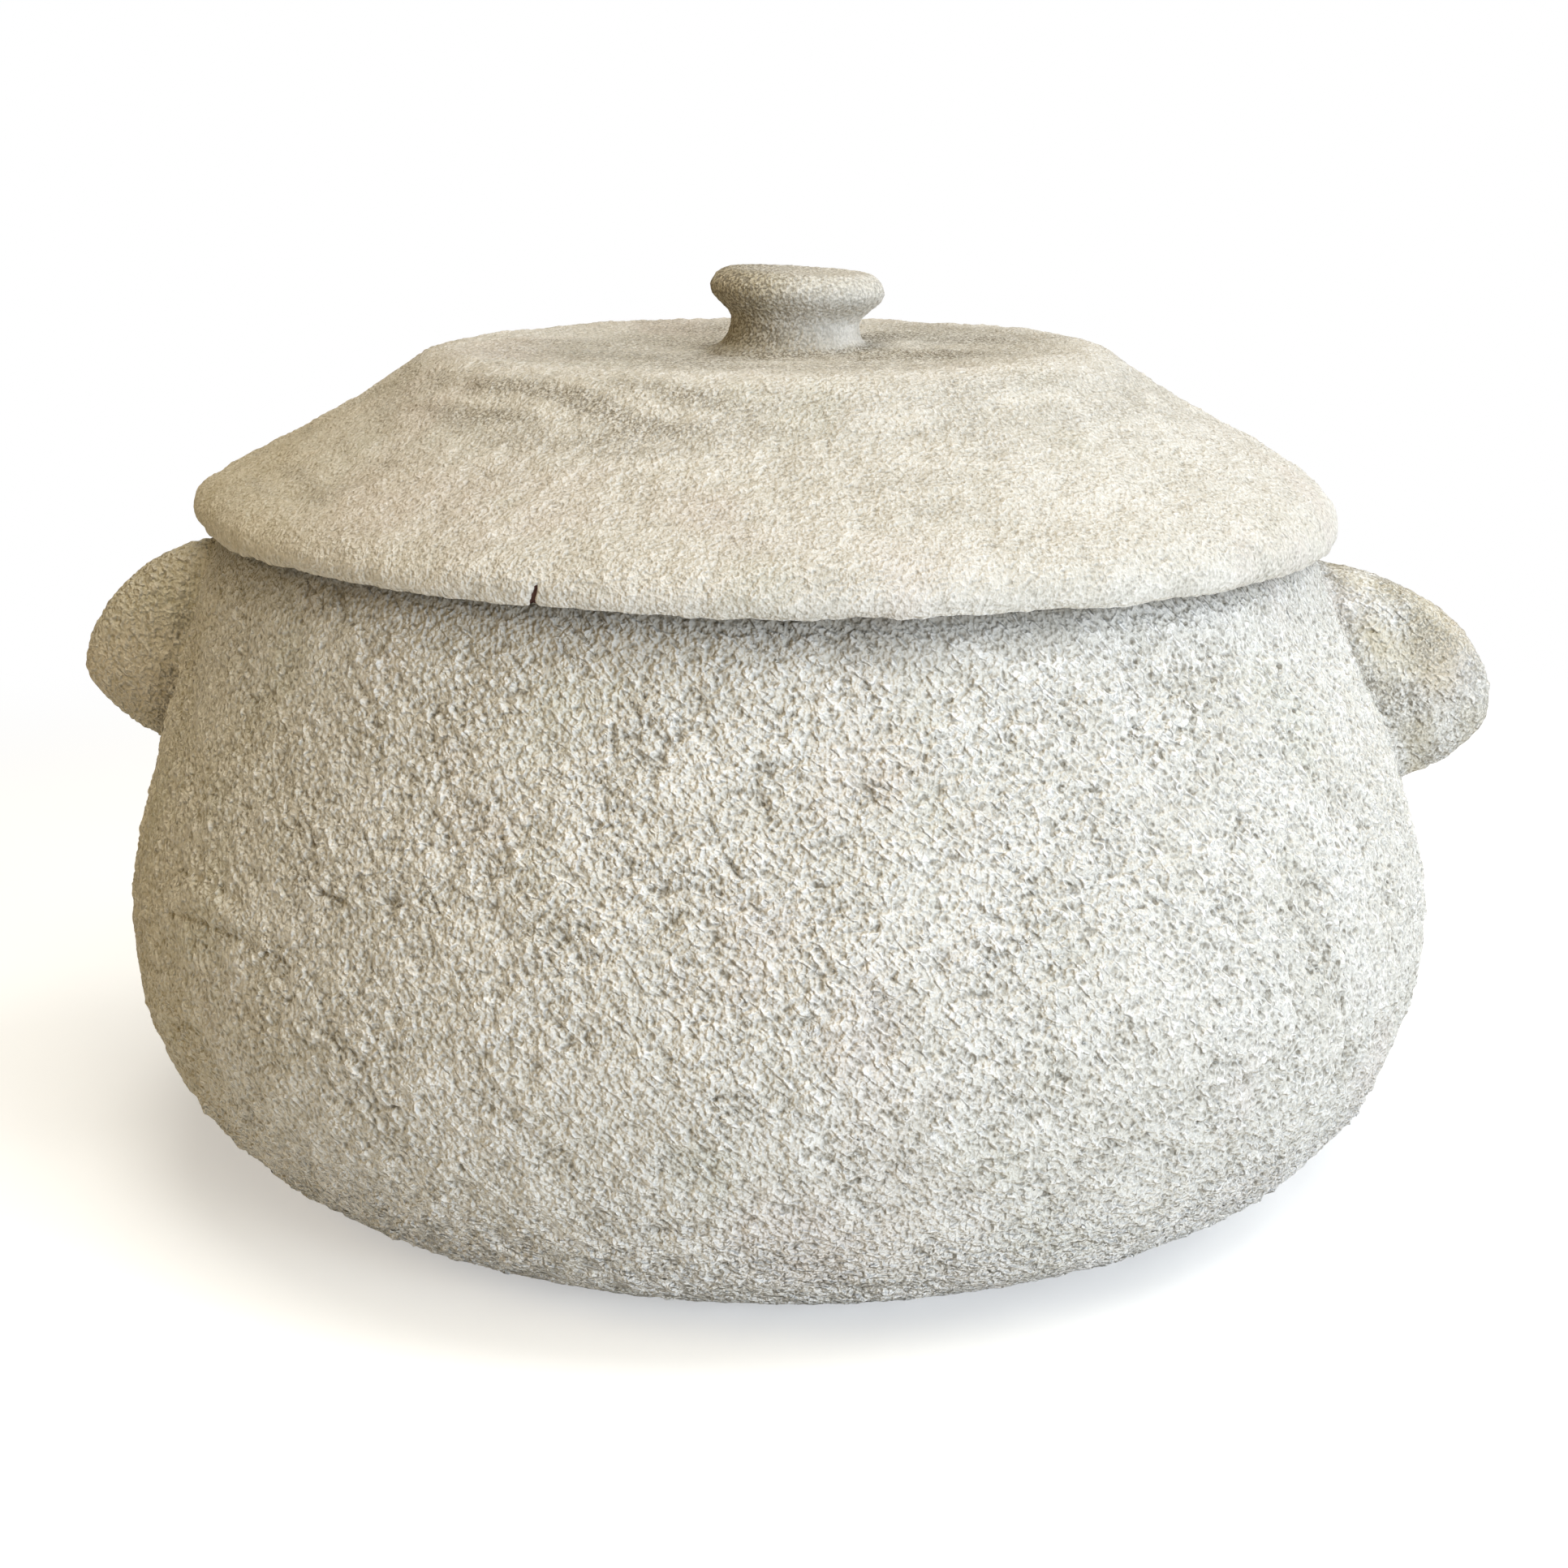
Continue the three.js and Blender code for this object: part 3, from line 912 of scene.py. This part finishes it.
def rice(n, place, fall):
    """Rice-like grains that fall to the right by an angle in degrees, with narrow gaps between them."""
    inputs = {"Vector": place, "Rotation": (0, math.radians(fall), 0), "Scale": RICE_SIZE}
    grains = n.noise(n.add("Mapping", inputs, vector_type="TEXTURE"), size=1.0, detail=0.5)
    off_gap = n.math("ABSOLUTE", n.math("SUBTRACT", grains, 0.5))
    return n.blend(grains, n.ease(off_gap, 0.0, 0.2, 0.3, 0.65), 0.35)


def brushed_grain(n, place):
    """Grains that the brush left, almost level near the foot, with crumbs between them."""
    near_foot = n.ease(n.height(place), *FOOT_STROKE_HEIGHTS)
    grains = n.mix(near_foot, rice(n, place, RICE_FALL), rice(n, place, RICE_FALL_AT_FOOT))
    return n.blend(grains, n.noise(place, size=0.0012, detail=0.8), 0.45)


def sandy_grain(n, place):
    """Sand, drawn out a little round the axis by the brush."""
    flat = n.vector("MULTIPLY", place, (1.0, 1.0, 0.0))
    outwards = n.math("ADD", n.vector("LENGTH", flat), n.height(place))
    across = n.add("CombineXYZ", {"Z": n.math("MULTIPLY", outwards, 1 / LINE_WIDTH)})
    along = n.vector("MULTIPLY", flat, (LINE_TURNS, LINE_TURNS, 0.0))
    lines = n.noise(n.vector("ADD", along, across), size=1.0, detail=1.5)
    return n.blend(lines, n.noise(place, size=0.0010, detail=1.0), 0.85)


CLAY_LINE_STRETCH = (0.04, 0.04, 1)
CLAY_BUMP = 0.0003
CLAY_SPECULAR = 0.25


def clay(name):
    """Red earthenware: turned lines, lighter and darker patches, fine grit, plaster dust where told."""
    n = Nodes(bpy.data.materials.new(name))
    place = n.place()
    base = n.mix(n.ease(n.noise(place, size=0.04, detail=4), 0.3, 0.7), CLAY, CLAY_PALE)
    flat = n.add("Mapping", {"Vector": place, "Scale": CLAY_LINE_STRETCH})
    line = n.noise(flat, size=0.0016, detail=3)
    base = n.mix(n.ease(line, 0.35, 0.65, 0.35, 0), base, CLAY_DARK)
    grit = n.noise(place, size=0.0009, detail=3, roughness=0.6)
    base = n.mix(n.ease(grit, 0.6, 0.75, 0, 0.35), base, CLAY_PALE)
    dust = n.math("ADD", n.value("dust"), n.noise(place, size=0.006, detail=5, roughness=0.65))
    base = n.mix(n.ease(dust, 0.95, 1.15), base, BONE)
    rough = n.ease(grit, 0.2, 0.8, 0.92, 0.72)
    normal = n.bump(n.math("ADD", grit, line), CLAY_BUMP, 0.6)
    return n.finish(base, rough, normal, CLAY_SPECULAR)


bowl_plaster = plaster("bowl_plaster", brushed_grain, depth=0.0044, gain=0.85, tone=BOWL_TONE)
lid_plaster = plaster("lid_plaster", sandy_grain, depth=0.0013, gain=0.62, tone=LID_TONE)
red_clay = clay("red_clay")


# Bowl coat, over the belly and both lugs

body = Turned(
    [(0, -OVERCUT), (FOOT_RADIUS, -OVERCUT)] + bowl_outline()
    + [(NECK_RADIUS + OVERCUT * heading(NECK_LEAN)[0], RIM_HEIGHT + OVERCUT), (0, RIM_HEIGHT + OVERCUT)]
)
lugs = [Lug(**LEFT_LUG), Lug(**RIGHT_LUG)]

# Where the coat is on a lug, by how far it stands off the belly
OFF_WALL = (0.0015, 0.006)

# Painted shade with some dirt under the lid's edge, painted shade and dirt on the lugs, painted warm shade
# on the left side, and painted light at the foot
UNDER_LID_SHARE = 0.75
UNDER_LID_DROP = 0.016
UNDER_LID_THIN = 0.006
UNDER_LID_FADE = 1.6
FRONT_LIT_TURN = math.radians(12)
FRONT_LIT_TURN_END = math.radians(38)
SEAM_SHADE = 0.6
SEAM_REACH = (0.002, 0.009)
LEFT_LUG_DARKENING = 0.08
RIGHT_LUG_DARKENING = 0.42
DARK_PATCH_SPACING = 0.012
LEFT_SHADE = 0.42
LEFT_SHADE_WAVER = 0.012
BOWL_LEFT_SHADE_REACH = (-0.10, -0.185)
RIGHT_LUG_SHADE = 0.30
NEAR_FOOT = (0.01, 0.06)
FOOT_LIGHT = 0.8
ROUGH_FOOT = 0.6


def under_lid_shade_and_dirt(p):
    """Painted shade, with some dirt, under the lid's edge: deep all round but at the front right, where the
    light reaches under the lid and it is a thin line.
    """
    turn = turn_of(p)
    lit_front = ease(turn, FRONT_LIT_TURN, FRONT_LIT_TURN_END)
    lit_front *= 1 - ease(turn, 2 * FRONT_LIT_TURN_END, 3 * FRONT_LIT_TURN_END)
    drop = UNDER_LID_DROP + (UNDER_LID_THIN - UNDER_LID_DROP) * lit_front
    below = (RIM_HEIGHT - p[:, 2]) / (drop * (1 + 0.35 * noise(p / DARK_PATCH_SPACING, 73)))
    return UNDER_LID_SHARE * np.clip(1 - below, 0, 1) ** UNDER_LID_FADE


def lug_shade_and_dirt(p, off_wall):
    """Painted shade in the lugs' seams, and darker patches on the lugs, more on the right one, partly dirt
    and partly painted shade.
    """
    seam = np.zeros(len(p))
    for lug in lugs:
        seam = np.maximum(seam, 1 - ease(np.abs(lug.distance(p)) + np.abs(body.distance(p)), *SEAM_REACH))
    patch = ease(noise(p / DARK_PATCH_SPACING, 71), -0.5, 0.5)
    on_lug = off_wall * np.where(p[:, 0] > 0, RIGHT_LUG_DARKENING, LEFT_LUG_DARKENING)
    return np.maximum(SEAM_SHADE * seam, on_lug) * patch


def shaded_left(p, start, end):
    """Painted warm shade on the shaded left side, from one place to another along X."""
    return LEFT_SHADE * ease(p[:, 0] + LEFT_SHADE_WAVER * noise(p / 0.03, 77), start, end)


def bowl_coat():
    distance = joined([body, *lugs], LUG_FILLET)
    cut = FOOT_LIFT + 2 * PROBE
    skin, foot, rim = trimmed(*even_skin([body, *lugs], distance, BOWL_GRAIN), cut, RIM_HEIGHT)
    even = skin.points
    off_wall = ease(body.distance(even), *OFF_WALL)
    height, relief = bowl_relief(even, off_wall)
    skin.points = even + height[:, None] * outward(distance, even)
    on_right = off_wall * (even[:, 0] > 0)
    near_foot = 1 - ease(even[:, 2], *NEAR_FOOT)
    looks = {
        "relief": relief,
        "dirt_and_shade": lug_shade_and_dirt(even, off_wall),
        "lid_shade_and_dirt": under_lid_shade_and_dirt(even),
        # Painted warm shade on the left side and on the right lug
        "warm_shade": shaded_left(even, *BOWL_LEFT_SHADE_REACH)
        + RIGHT_LUG_SHADE * on_right * ease(noise(even / 0.014, 78), -0.4, 0.4),
        # Painted light from below on the foot
        "abraded_and_lit": FOOT_LIGHT * near_foot,
        "polish": -ROUGH_FOOT * near_foot,
    }
    bed = inset(bowl_outline(), BOWL_COAT)[::-4]
    last = line_inside(skin, rim, [(NECK_RADIUS - BOWL_COAT, RIM_HEIGHT), *bed[1:]])
    skin.add(np.empty((0, 3)), zipped(skin.points, last, foot))
    skin.points = leaned(skin.points)
    piece = skin.object("bowl_coat", bowl_plaster, **looks)
    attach(piece, "bowl")
    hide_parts("bowl_plaster_coat")


# Lid coat, over the crown and the knob

cap = Turned([(0, SEAT_HEIGHT - OVERCUT), (lid_outline()[0][0], SEAT_HEIGHT - OVERCUT)] + lid_outline())
knob = Placed(
    Turned([(0, -KNOB_SUNK), (KNOB_FOOT_RADIUS, -KNOB_SUNK)] + knob_outline()),
    (KNOB_OFFSET, 0, KNOB_SEAT), KNOB_TILT,
)

# Where the coat is on the knob, by how far it stands off the crown
ON_KNOB = (0.0005, 0.004)

CHIP_TURN = math.radians(-19.9)
CHIP_WIDTH = 0.0010
CHIP_HEIGHT = 0.0062
CHIP_LEAN = 0.0016
CHIP_DEPTH = 0.0009
CHIP_SIDE = 0.0007
CHIP_RADII = (0.150, 0.156)

LID_LEFT_SHADE_REACH = (-0.07, -0.16)
KNOB_POLISH = 0.2
CROWN_EDGE_WAVER = 0.005
CROWN_DARK_REACH = (-0.012, 0.034)
KNOB_FOOT_SHADE = 0.6
KNOB_FOOT_REACH = (0.0008, 0.0040)
WORN_EDGE = 0.45
KNOB_HIGHLIGHT = 0.85


def chipped(p):
    """A narrow notch in the lid's lower edge, pointed at its top, where the clay shows."""
    rise = np.clip((p[:, 2] - SEAT_HEIGHT) / CHIP_HEIGHT, 0, 1)
    radius = radius_of(p)
    across = np.abs((turn_of(p) - CHIP_TURN) * radius - CHIP_LEAN * rise)
    half = CHIP_WIDTH / 2 * (1 - rise)
    return (1 - ease(across, half, half + CHIP_SIDE)) * (1 - ease(rise, 0.9, 1)) * ease(radius, *CHIP_RADII)


def lid_dirt_and_shade(p, on_knob, past_edge):
    """Darker speckle on the crown, most at its right; dirt in bands below it; painted shade round the knob's
    foot; dirt on the knob, with painted shade on its left.
    """
    radius = radius_of(p)
    turn = turn_of(p)
    drawn = noise(np.column_stack([turn * 5, radius / 0.006, np.zeros(len(p))]), 75)
    crown = ease(-past_edge, *CROWN_DARK_REACH) * (1 - on_knob) * ease(noise(p / 0.03, 72), -0.7, 0.4)
    crown *= 0.34 + 0.30 * ease(p[:, 0], -0.05, 0.03)
    below = ease(past_edge, 0.007, 0.014) * (1 - ease(past_edge, 0.020, 0.042)) * ease(drawn, -0.5, 0.3)
    at_left = ease(turn, -1.0, -0.7) * (1 - ease(turn, -0.3, 0.1))
    below *= (0.24 + 0.24 * at_left) * (1 - on_knob)
    # Painted shade where the knob meets the crown
    foot = 1 - ease(np.abs(knob.distance(p)) + np.abs(cap.distance(p)), *KNOB_FOOT_REACH)
    streaks = 0.22 * ease(drawn, 0.05, 0.5) * ease(noise(p / 0.05, 76), -0.2, 0.4)
    # Dirt on the knob, with painted shade on its left side
    knob_darkening = (0.26 + 0.40 * ease(KNOB_OFFSET - p[:, 0], -0.010, 0.022)) * on_knob
    return np.max([crown, below, KNOB_FOOT_SHADE * foot, streaks, knob_darkening], axis=0)


def lid_marks_and_light(p, on_knob):
    """Dirt and painted shade on the lid, and its white: the abraded crown edge, and a painted highlight on
    the knob's lower right.
    """
    past_edge = radius_of(p) - (CROWN_RADIUS + CROWN_EDGE_WAVER * noise(p / 0.03, 74))
    abraded_and_lit = ease(past_edge, -0.006, 0.002) * (1 - ease(past_edge, 0.004, 0.012)) * (1 - on_knob)
    # Painted highlight on the knob's lower right
    knob_highlight = ease(p[:, 0] - KNOB_OFFSET, 0, 0.016) * (1 - ease(p[:, 2] - KNOB_SEAT, 0.008, 0.014)) * on_knob
    dirt_and_shade = lid_dirt_and_shade(p, on_knob, past_edge) * (1 - 0.6 * knob_highlight)
    return dirt_and_shade, np.maximum(WORN_EDGE * abraded_and_lit, KNOB_HIGHLIGHT * knob_highlight)


def lid_coat():
    distance = joined([cap, knob], KNOB_FILLET)
    cut = SEAT_HEIGHT + 2 * PROBE
    skin, edge = trimmed(*even_skin([cap, knob], distance, LID_GRAIN), cut)
    even = skin.points
    on_knob = ease(cap.distance(even), *ON_KNOB)
    height, relief = lid_relief(even, on_knob)
    bare = chipped(even)
    skin.points = even + (height - CHIP_DEPTH * bare)[:, None] * outward(distance, even)
    dirt_and_shade, abraded_and_lit = lid_marks_and_light(even, on_knob)
    # Painted warm shade on the left of the lid and of the knob
    on_lid = shaded_left(even, *LID_LEFT_SHADE_REACH)
    by_knob = shaded_left(even, KNOB_OFFSET, KNOB_OFFSET - KNOB_RIM_RADIUS)
    looks = {
        "relief": relief,
        "dirt_and_shade": dirt_and_shade,
        "warm_shade": on_lid * (1 - on_knob) + by_knob * on_knob,
        "abraded_and_lit": abraded_and_lit,
        "bare": bare,
        "polish": KNOB_POLISH * on_knob,
    }
    bed = inset(lid_outline(), LID_COAT)[2:-1:3]
    last = line_inside(skin, edge, [(lid_outline()[0][0] - LID_COAT, cut), *bed])
    middle = len(skin.points)
    fan = [np.array([a, b, middle]) for a, b in zip(last, np.roll(last, -1))]
    skin.add(np.array([[0, 0, KNOB_SEAT - LID_COAT]]), fan)
    skin.points = leaned(skin.points)
    piece = skin.object("lid_coat", lid_plaster, **looks)
    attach(piece, "lid")
    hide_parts("lid_plaster_coat")


# Clay pieces
TURNED_DEPTH = 0.0002
TURNED_PITCH = 0.007
TURNED_WAVER = 0.02
BOWL_CLAY_STEP = 0.0025
LID_CLAY_STEP = 0.003
RING_STEP = 0.002
CLAY_FOOT_INSET = 0.004
RIM_OUTER_ROUND = 0.0012
RIM_INNER_ROUND = 0.003
RIM_DUST_DROP = 0.003
FLOOR_EDGE = 0.012
FLOOR_CORNER = (0.003, 0.002)
FLOOR_ROUND = 0.006
LID_SEAT_INSET = 0.005
LID_DUST_RADII = (0.147, 0.1545)
MOUTH_RADIUS = inset(bowl_outline(), BOWL_COAT + JOINT + BOWL_WALL)[-1][0]
RING_OUTER = MOUTH_RADIUS - RING_CLEARANCE
RING_INNER = RING_OUTER - RING_WALL


def turned_lines(points):
    """Shallow ridges that a potter's fingers leave, climbing in a spiral."""
    climb = points[:, 2] + radius_of(points) * 0.6
    wave = np.sin(2 * math.pi * (climb / TURNED_PITCH) + turn_of(points))
    return TURNED_DEPTH * (wave + 0.8 * noise(points / TURNED_WAVER, 81))


def clay_piece(name, body_name, node, outline, dust):
    """A turned clay piece, from an outline that starts and ends on the axis or from a ring's."""
    is_ring = outline[0][0] > 0
    points, faces = rows_round(outline, CLAY_STEPS, closed=True) if is_ring else lathe(outline, CLAY_STEPS)
    points = np.array(points)
    corners = np.concatenate([np.array(f) for f in faces])
    counts = np.array([len(f) for f in faces])
    radial = points * (1, 1, 0) / np.maximum(radius_of(points), 1e-4)[:, None]
    skin = Skin(leaned(points + turned_lines(points)[:, None] * radial), corners, counts)
    piece = skin.object(name, red_clay, dust=dust(points))
    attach(piece, body_name)
    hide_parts(node)


def rounded(before, corner, after, size, steps=5):
    """Points of a corner with a round of a size, between its neighbours."""
    c = np.array(corner)
    start = c + size * (np.array(before) - c) / np.linalg.norm(np.array(before) - c)
    end = c + size * (np.array(after) - c) / np.linalg.norm(np.array(after) - c)
    shares = np.linspace(0, 1, steps)
    return [tuple((1 - t) ** 2 * start + 2 * t * (1 - t) * c + t * t * end) for t in shares]


def dense(outline, step):
    """An outline with no stretch longer than a step."""
    made = [outline[0]]
    for start, end in zip(outline[:-1], outline[1:]):
        count = max(1, math.ceil(math.dist(start, end) / step))
        made += [tuple(np.array(start) + (np.array(end) - start) * k / count) for k in range(1, count + 1)]
    return made


def bowl_clay():
    outer = inset(bowl_outline(), BOWL_COAT + JOINT)
    inner = inset(bowl_outline(), BOWL_COAT + JOINT + BOWL_WALL)
    outside = [tuple(p) for p in outer[::-3]][::-1]
    inside = [tuple(p) for p in inner if p[1] > BOWL_FLOOR + FLOOR_EDGE]
    inside[-1] = (inside[-1][0], RIM_HEIGHT)
    outside[-1] = (outside[-1][0], RIM_HEIGHT)
    rim = rounded(outside[-2], outside[-1], inside[-1], RIM_OUTER_ROUND)
    rim += rounded(outside[-1], inside[-1], inside[-2], RIM_INNER_ROUND)
    floor_edge = (inside[0][0] - FLOOR_EDGE, BOWL_FLOOR)
    floor_corner = (inside[0][0] - FLOOR_CORNER[0], BOWL_FLOOR + FLOOR_CORNER[1])
    corner = rounded(inside[1], floor_corner, floor_edge, FLOOR_ROUND)
    foot_edge = (FOOT_RADIUS - CLAY_FOOT_INSET, 0)
    inwards = [*inside[-2::-1], *corner, floor_edge, (0, BOWL_FLOOR)]
    outline = [(0, 0), foot_edge, *outside[:-1], *rim, *inwards]

    def dust(p):
        return ease(p[:, 2], RIM_HEIGHT - RIM_DUST_DROP, RIM_HEIGHT)

    clay_piece("bowl_clay", "bowl", "bowl_body", dense(outline, BOWL_CLAY_STEP), dust)


def lid_clay():
    outer = inset(lid_outline(), LID_COAT + JOINT)
    inner = inset(lid_outline(), LID_COAT + JOINT + LID_WALL)
    outside = [tuple(p) for p in outer[4:-1:3]]
    inside = [tuple(p) for p in inner[:-1] if p[0] < RING_INNER]
    seat = [(RING_INNER, SEAT_HEIGHT), (outside[0][0] - LID_SEAT_INSET, SEAT_HEIGHT)]
    under = [(0, inside[-1][1]), *inside[::-1], (RING_INNER, inside[0][1])]
    outline = [*under, *seat, *outside, (0, KNOB_SEAT - LID_COAT - JOINT)]

    def dust(p):
        return ease(radius_of(p), *LID_DUST_RADII)

    clay_piece("lid_clay", "lid", "lid_shell", dense(outline, LID_CLAY_STEP), dust)


def ring_clay():
    top = SEAT_HEIGHT - JOINT
    low = top - RING_DEPTH
    half = RING_WALL / 2
    arc = [
        (RING_INNER + half - half * math.cos(t), low + half - half * math.sin(t))
        for t in np.linspace(0, math.pi, 12)
    ]
    outline = dense([(RING_INNER, top), *arc, (RING_OUTER, top)], RING_STEP)
    clay_piece("lid_ring", "lid", "lid_locating_ring", outline, lambda points: np.zeros(len(points)))


def core(name, body_name, node):
    """A luted clay core, hidden in its coat, leaning with it."""
    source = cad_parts[node].data
    points = numbers(source.vertices, "co", 3, np.float32).astype(float)
    corners = numbers(source.loops, "vertex_index", 1, np.int32)
    counts = numbers(source.polygons, "loop_total", 1, np.int32)
    piece = Skin(leaned(points), corners, counts).object(name, red_clay, dust=np.zeros(len(points)))
    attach(piece, body_name)
    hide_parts(node)


bowl_coat()
lid_coat()
bowl_clay()
lid_clay()
ring_clay()
core("left_lug_core", "bowl", "left_lug_handle")
core("right_lug_core", "bowl", "right_lug_handle")
core("knob_core", "lid", "lid_knob")


# Floor: pale, white to the eye away from the pot, with the pot's shadow
FLOOR_RADIUS = 6.0
FLOOR_STEPS = 96
FLOOR_GLOW = 0.42
FLOOR_FADE = (0.35, 0.75)
FLOOR_TONES = ((0.84, 0.84, 0.83, 1), (0.86, 0.86, 0.85, 1))
PURE_WHITE = (1, 1, 1, 1)


def floor():
    n = Nodes(bpy.data.materials.new("pale_floor"))
    path = n.tree.nodes.new("ShaderNodeLightPath")
    seen = n.math("MAXIMUM", path.outputs["Is Camera Ray"], path.outputs["Is Glossy Ray"])
    seen = n.math("MAXIMUM", seen, path.outputs["Is Transmission Ray"])
    place = n.place()
    tone = n.mix(n.ease(n.noise(place, size=0.4, detail=3), 0.3, 0.7), *FLOOR_TONES)
    plain = n.add("BsdfDiffuse", {"Color": tone})
    glow = n.add("Emission", {"Color": PURE_WHITE, "Strength": FLOOR_GLOW})
    near = n.add("AddShader", {0: plain, 1: glow})
    white = n.add("Emission", {"Color": PURE_WHITE, "Strength": 1.0})
    shown = n.shader_mix(n.ease(n.vector("LENGTH", place), *FLOOR_FADE), near, white)
    turns = np.linspace(0, 2 * math.pi, FLOOR_STEPS, endpoint=False)
    rim = [(FLOOR_RADIUS * math.cos(t), FLOOR_RADIUS * math.sin(t), 0) for t in turns]
    ground = added("floor", mesh_of("floor", rim, [list(range(len(rim)))]))
    ground.data.materials.append(n.output(n.shader_mix(seen, plain, shown)))


floor()


# Light: each lamp's share is how bright it makes a white surface that faces it
POT_MIDDLE = (0, 0, 0.11)
LAMP_AWAY = 1.6
SUNNY = (1, 0.97, 0.90)
CREAM = (1, 0.94, 0.78)
PLAIN = (0.98, 0.99, 1)
COOL = (0.82, 0.90, 1)
ICY = (0.70, 0.82, 1)
AMBER = (1, 0.74, 0.36)
SKY = 0.005


def lamp(name, turn, rise, size, share, colour):
    light = bpy.data.lights.new(name, "AREA")
    light.shape = "DISK"
    light.size = size
    light.color = colour
    light.energy = share * math.pi**2 * LAMP_AWAY**2
    holder = added(name, light)
    a, e = math.radians(turn), math.radians(rise)
    back = (math.sin(a) * math.cos(e), -math.cos(a) * math.cos(e), math.sin(e))
    holder.location = [m + LAMP_AWAY * b for m, b in zip(POT_MIDDLE, back)]
    holder.rotation_euler = (math.pi / 2 - e, 0, a)
    holder.visible_camera = False


lamp("top", turn=0, rise=85, size=1.0, share=0.45, colour=SUNNY)
lamp("front", turn=0, rise=55, size=1.0, share=0.22, colour=CREAM)
lamp("back", turn=120, rise=20, size=0.6, share=0.37, colour=PLAIN)
lamp("window", turn=60, rise=60, size=0.7, share=0.20, colour=PLAIN)
lamp("right", turn=82, rise=26, size=0.6, share=0.12, colour=COOL)
lamp("low", turn=30, rise=12, size=0.8, share=0.30, colour=COOL)
lamp("floor_light", turn=45, rise=4, size=0.8, share=0.57, colour=ICY)
lamp("left", turn=-60, rise=28, size=1.0, share=0.195, colour=AMBER)


def sky():
    """A faint light from all round, white to the eye."""
    n = Nodes(bpy.data.worlds.new("studio"))
    path = n.tree.nodes.new("ShaderNodeLightPath")
    seen = n.math("MAXIMUM", path.outputs["Is Camera Ray"], path.outputs["Is Glossy Ray"])
    shades = [n.add("Background", {"Color": PURE_WHITE, "Strength": strength}) for strength in (SKY, 1.0)]
    bpy.context.scene.world = n.output(n.shader_mix(seen, *shades), "OutputWorld")


sky()

# Camera, as the photograph was taken: from the front, a little above the rim
CAMERA_PLACE = (0.0019, -0.7636, 0.29806)
CAMERA_DIP = math.radians(14.46)
CAMERA_LENS = 61.49
CAMERA_SENSOR = 36
CAMERA_NEAR = 0.01

camera = bpy.data.cameras.new("camera")
camera.lens = CAMERA_LENS
camera.sensor_width = CAMERA_SENSOR
camera.clip_start = CAMERA_NEAR
viewer = added("camera", camera)
viewer.location = CAMERA_PLACE
viewer.rotation_euler = (math.pi / 2 - CAMERA_DIP, 0, 0)
bpy.context.scene.camera = viewer
bpy.context.scene.view_settings.view_transform = "Standard"
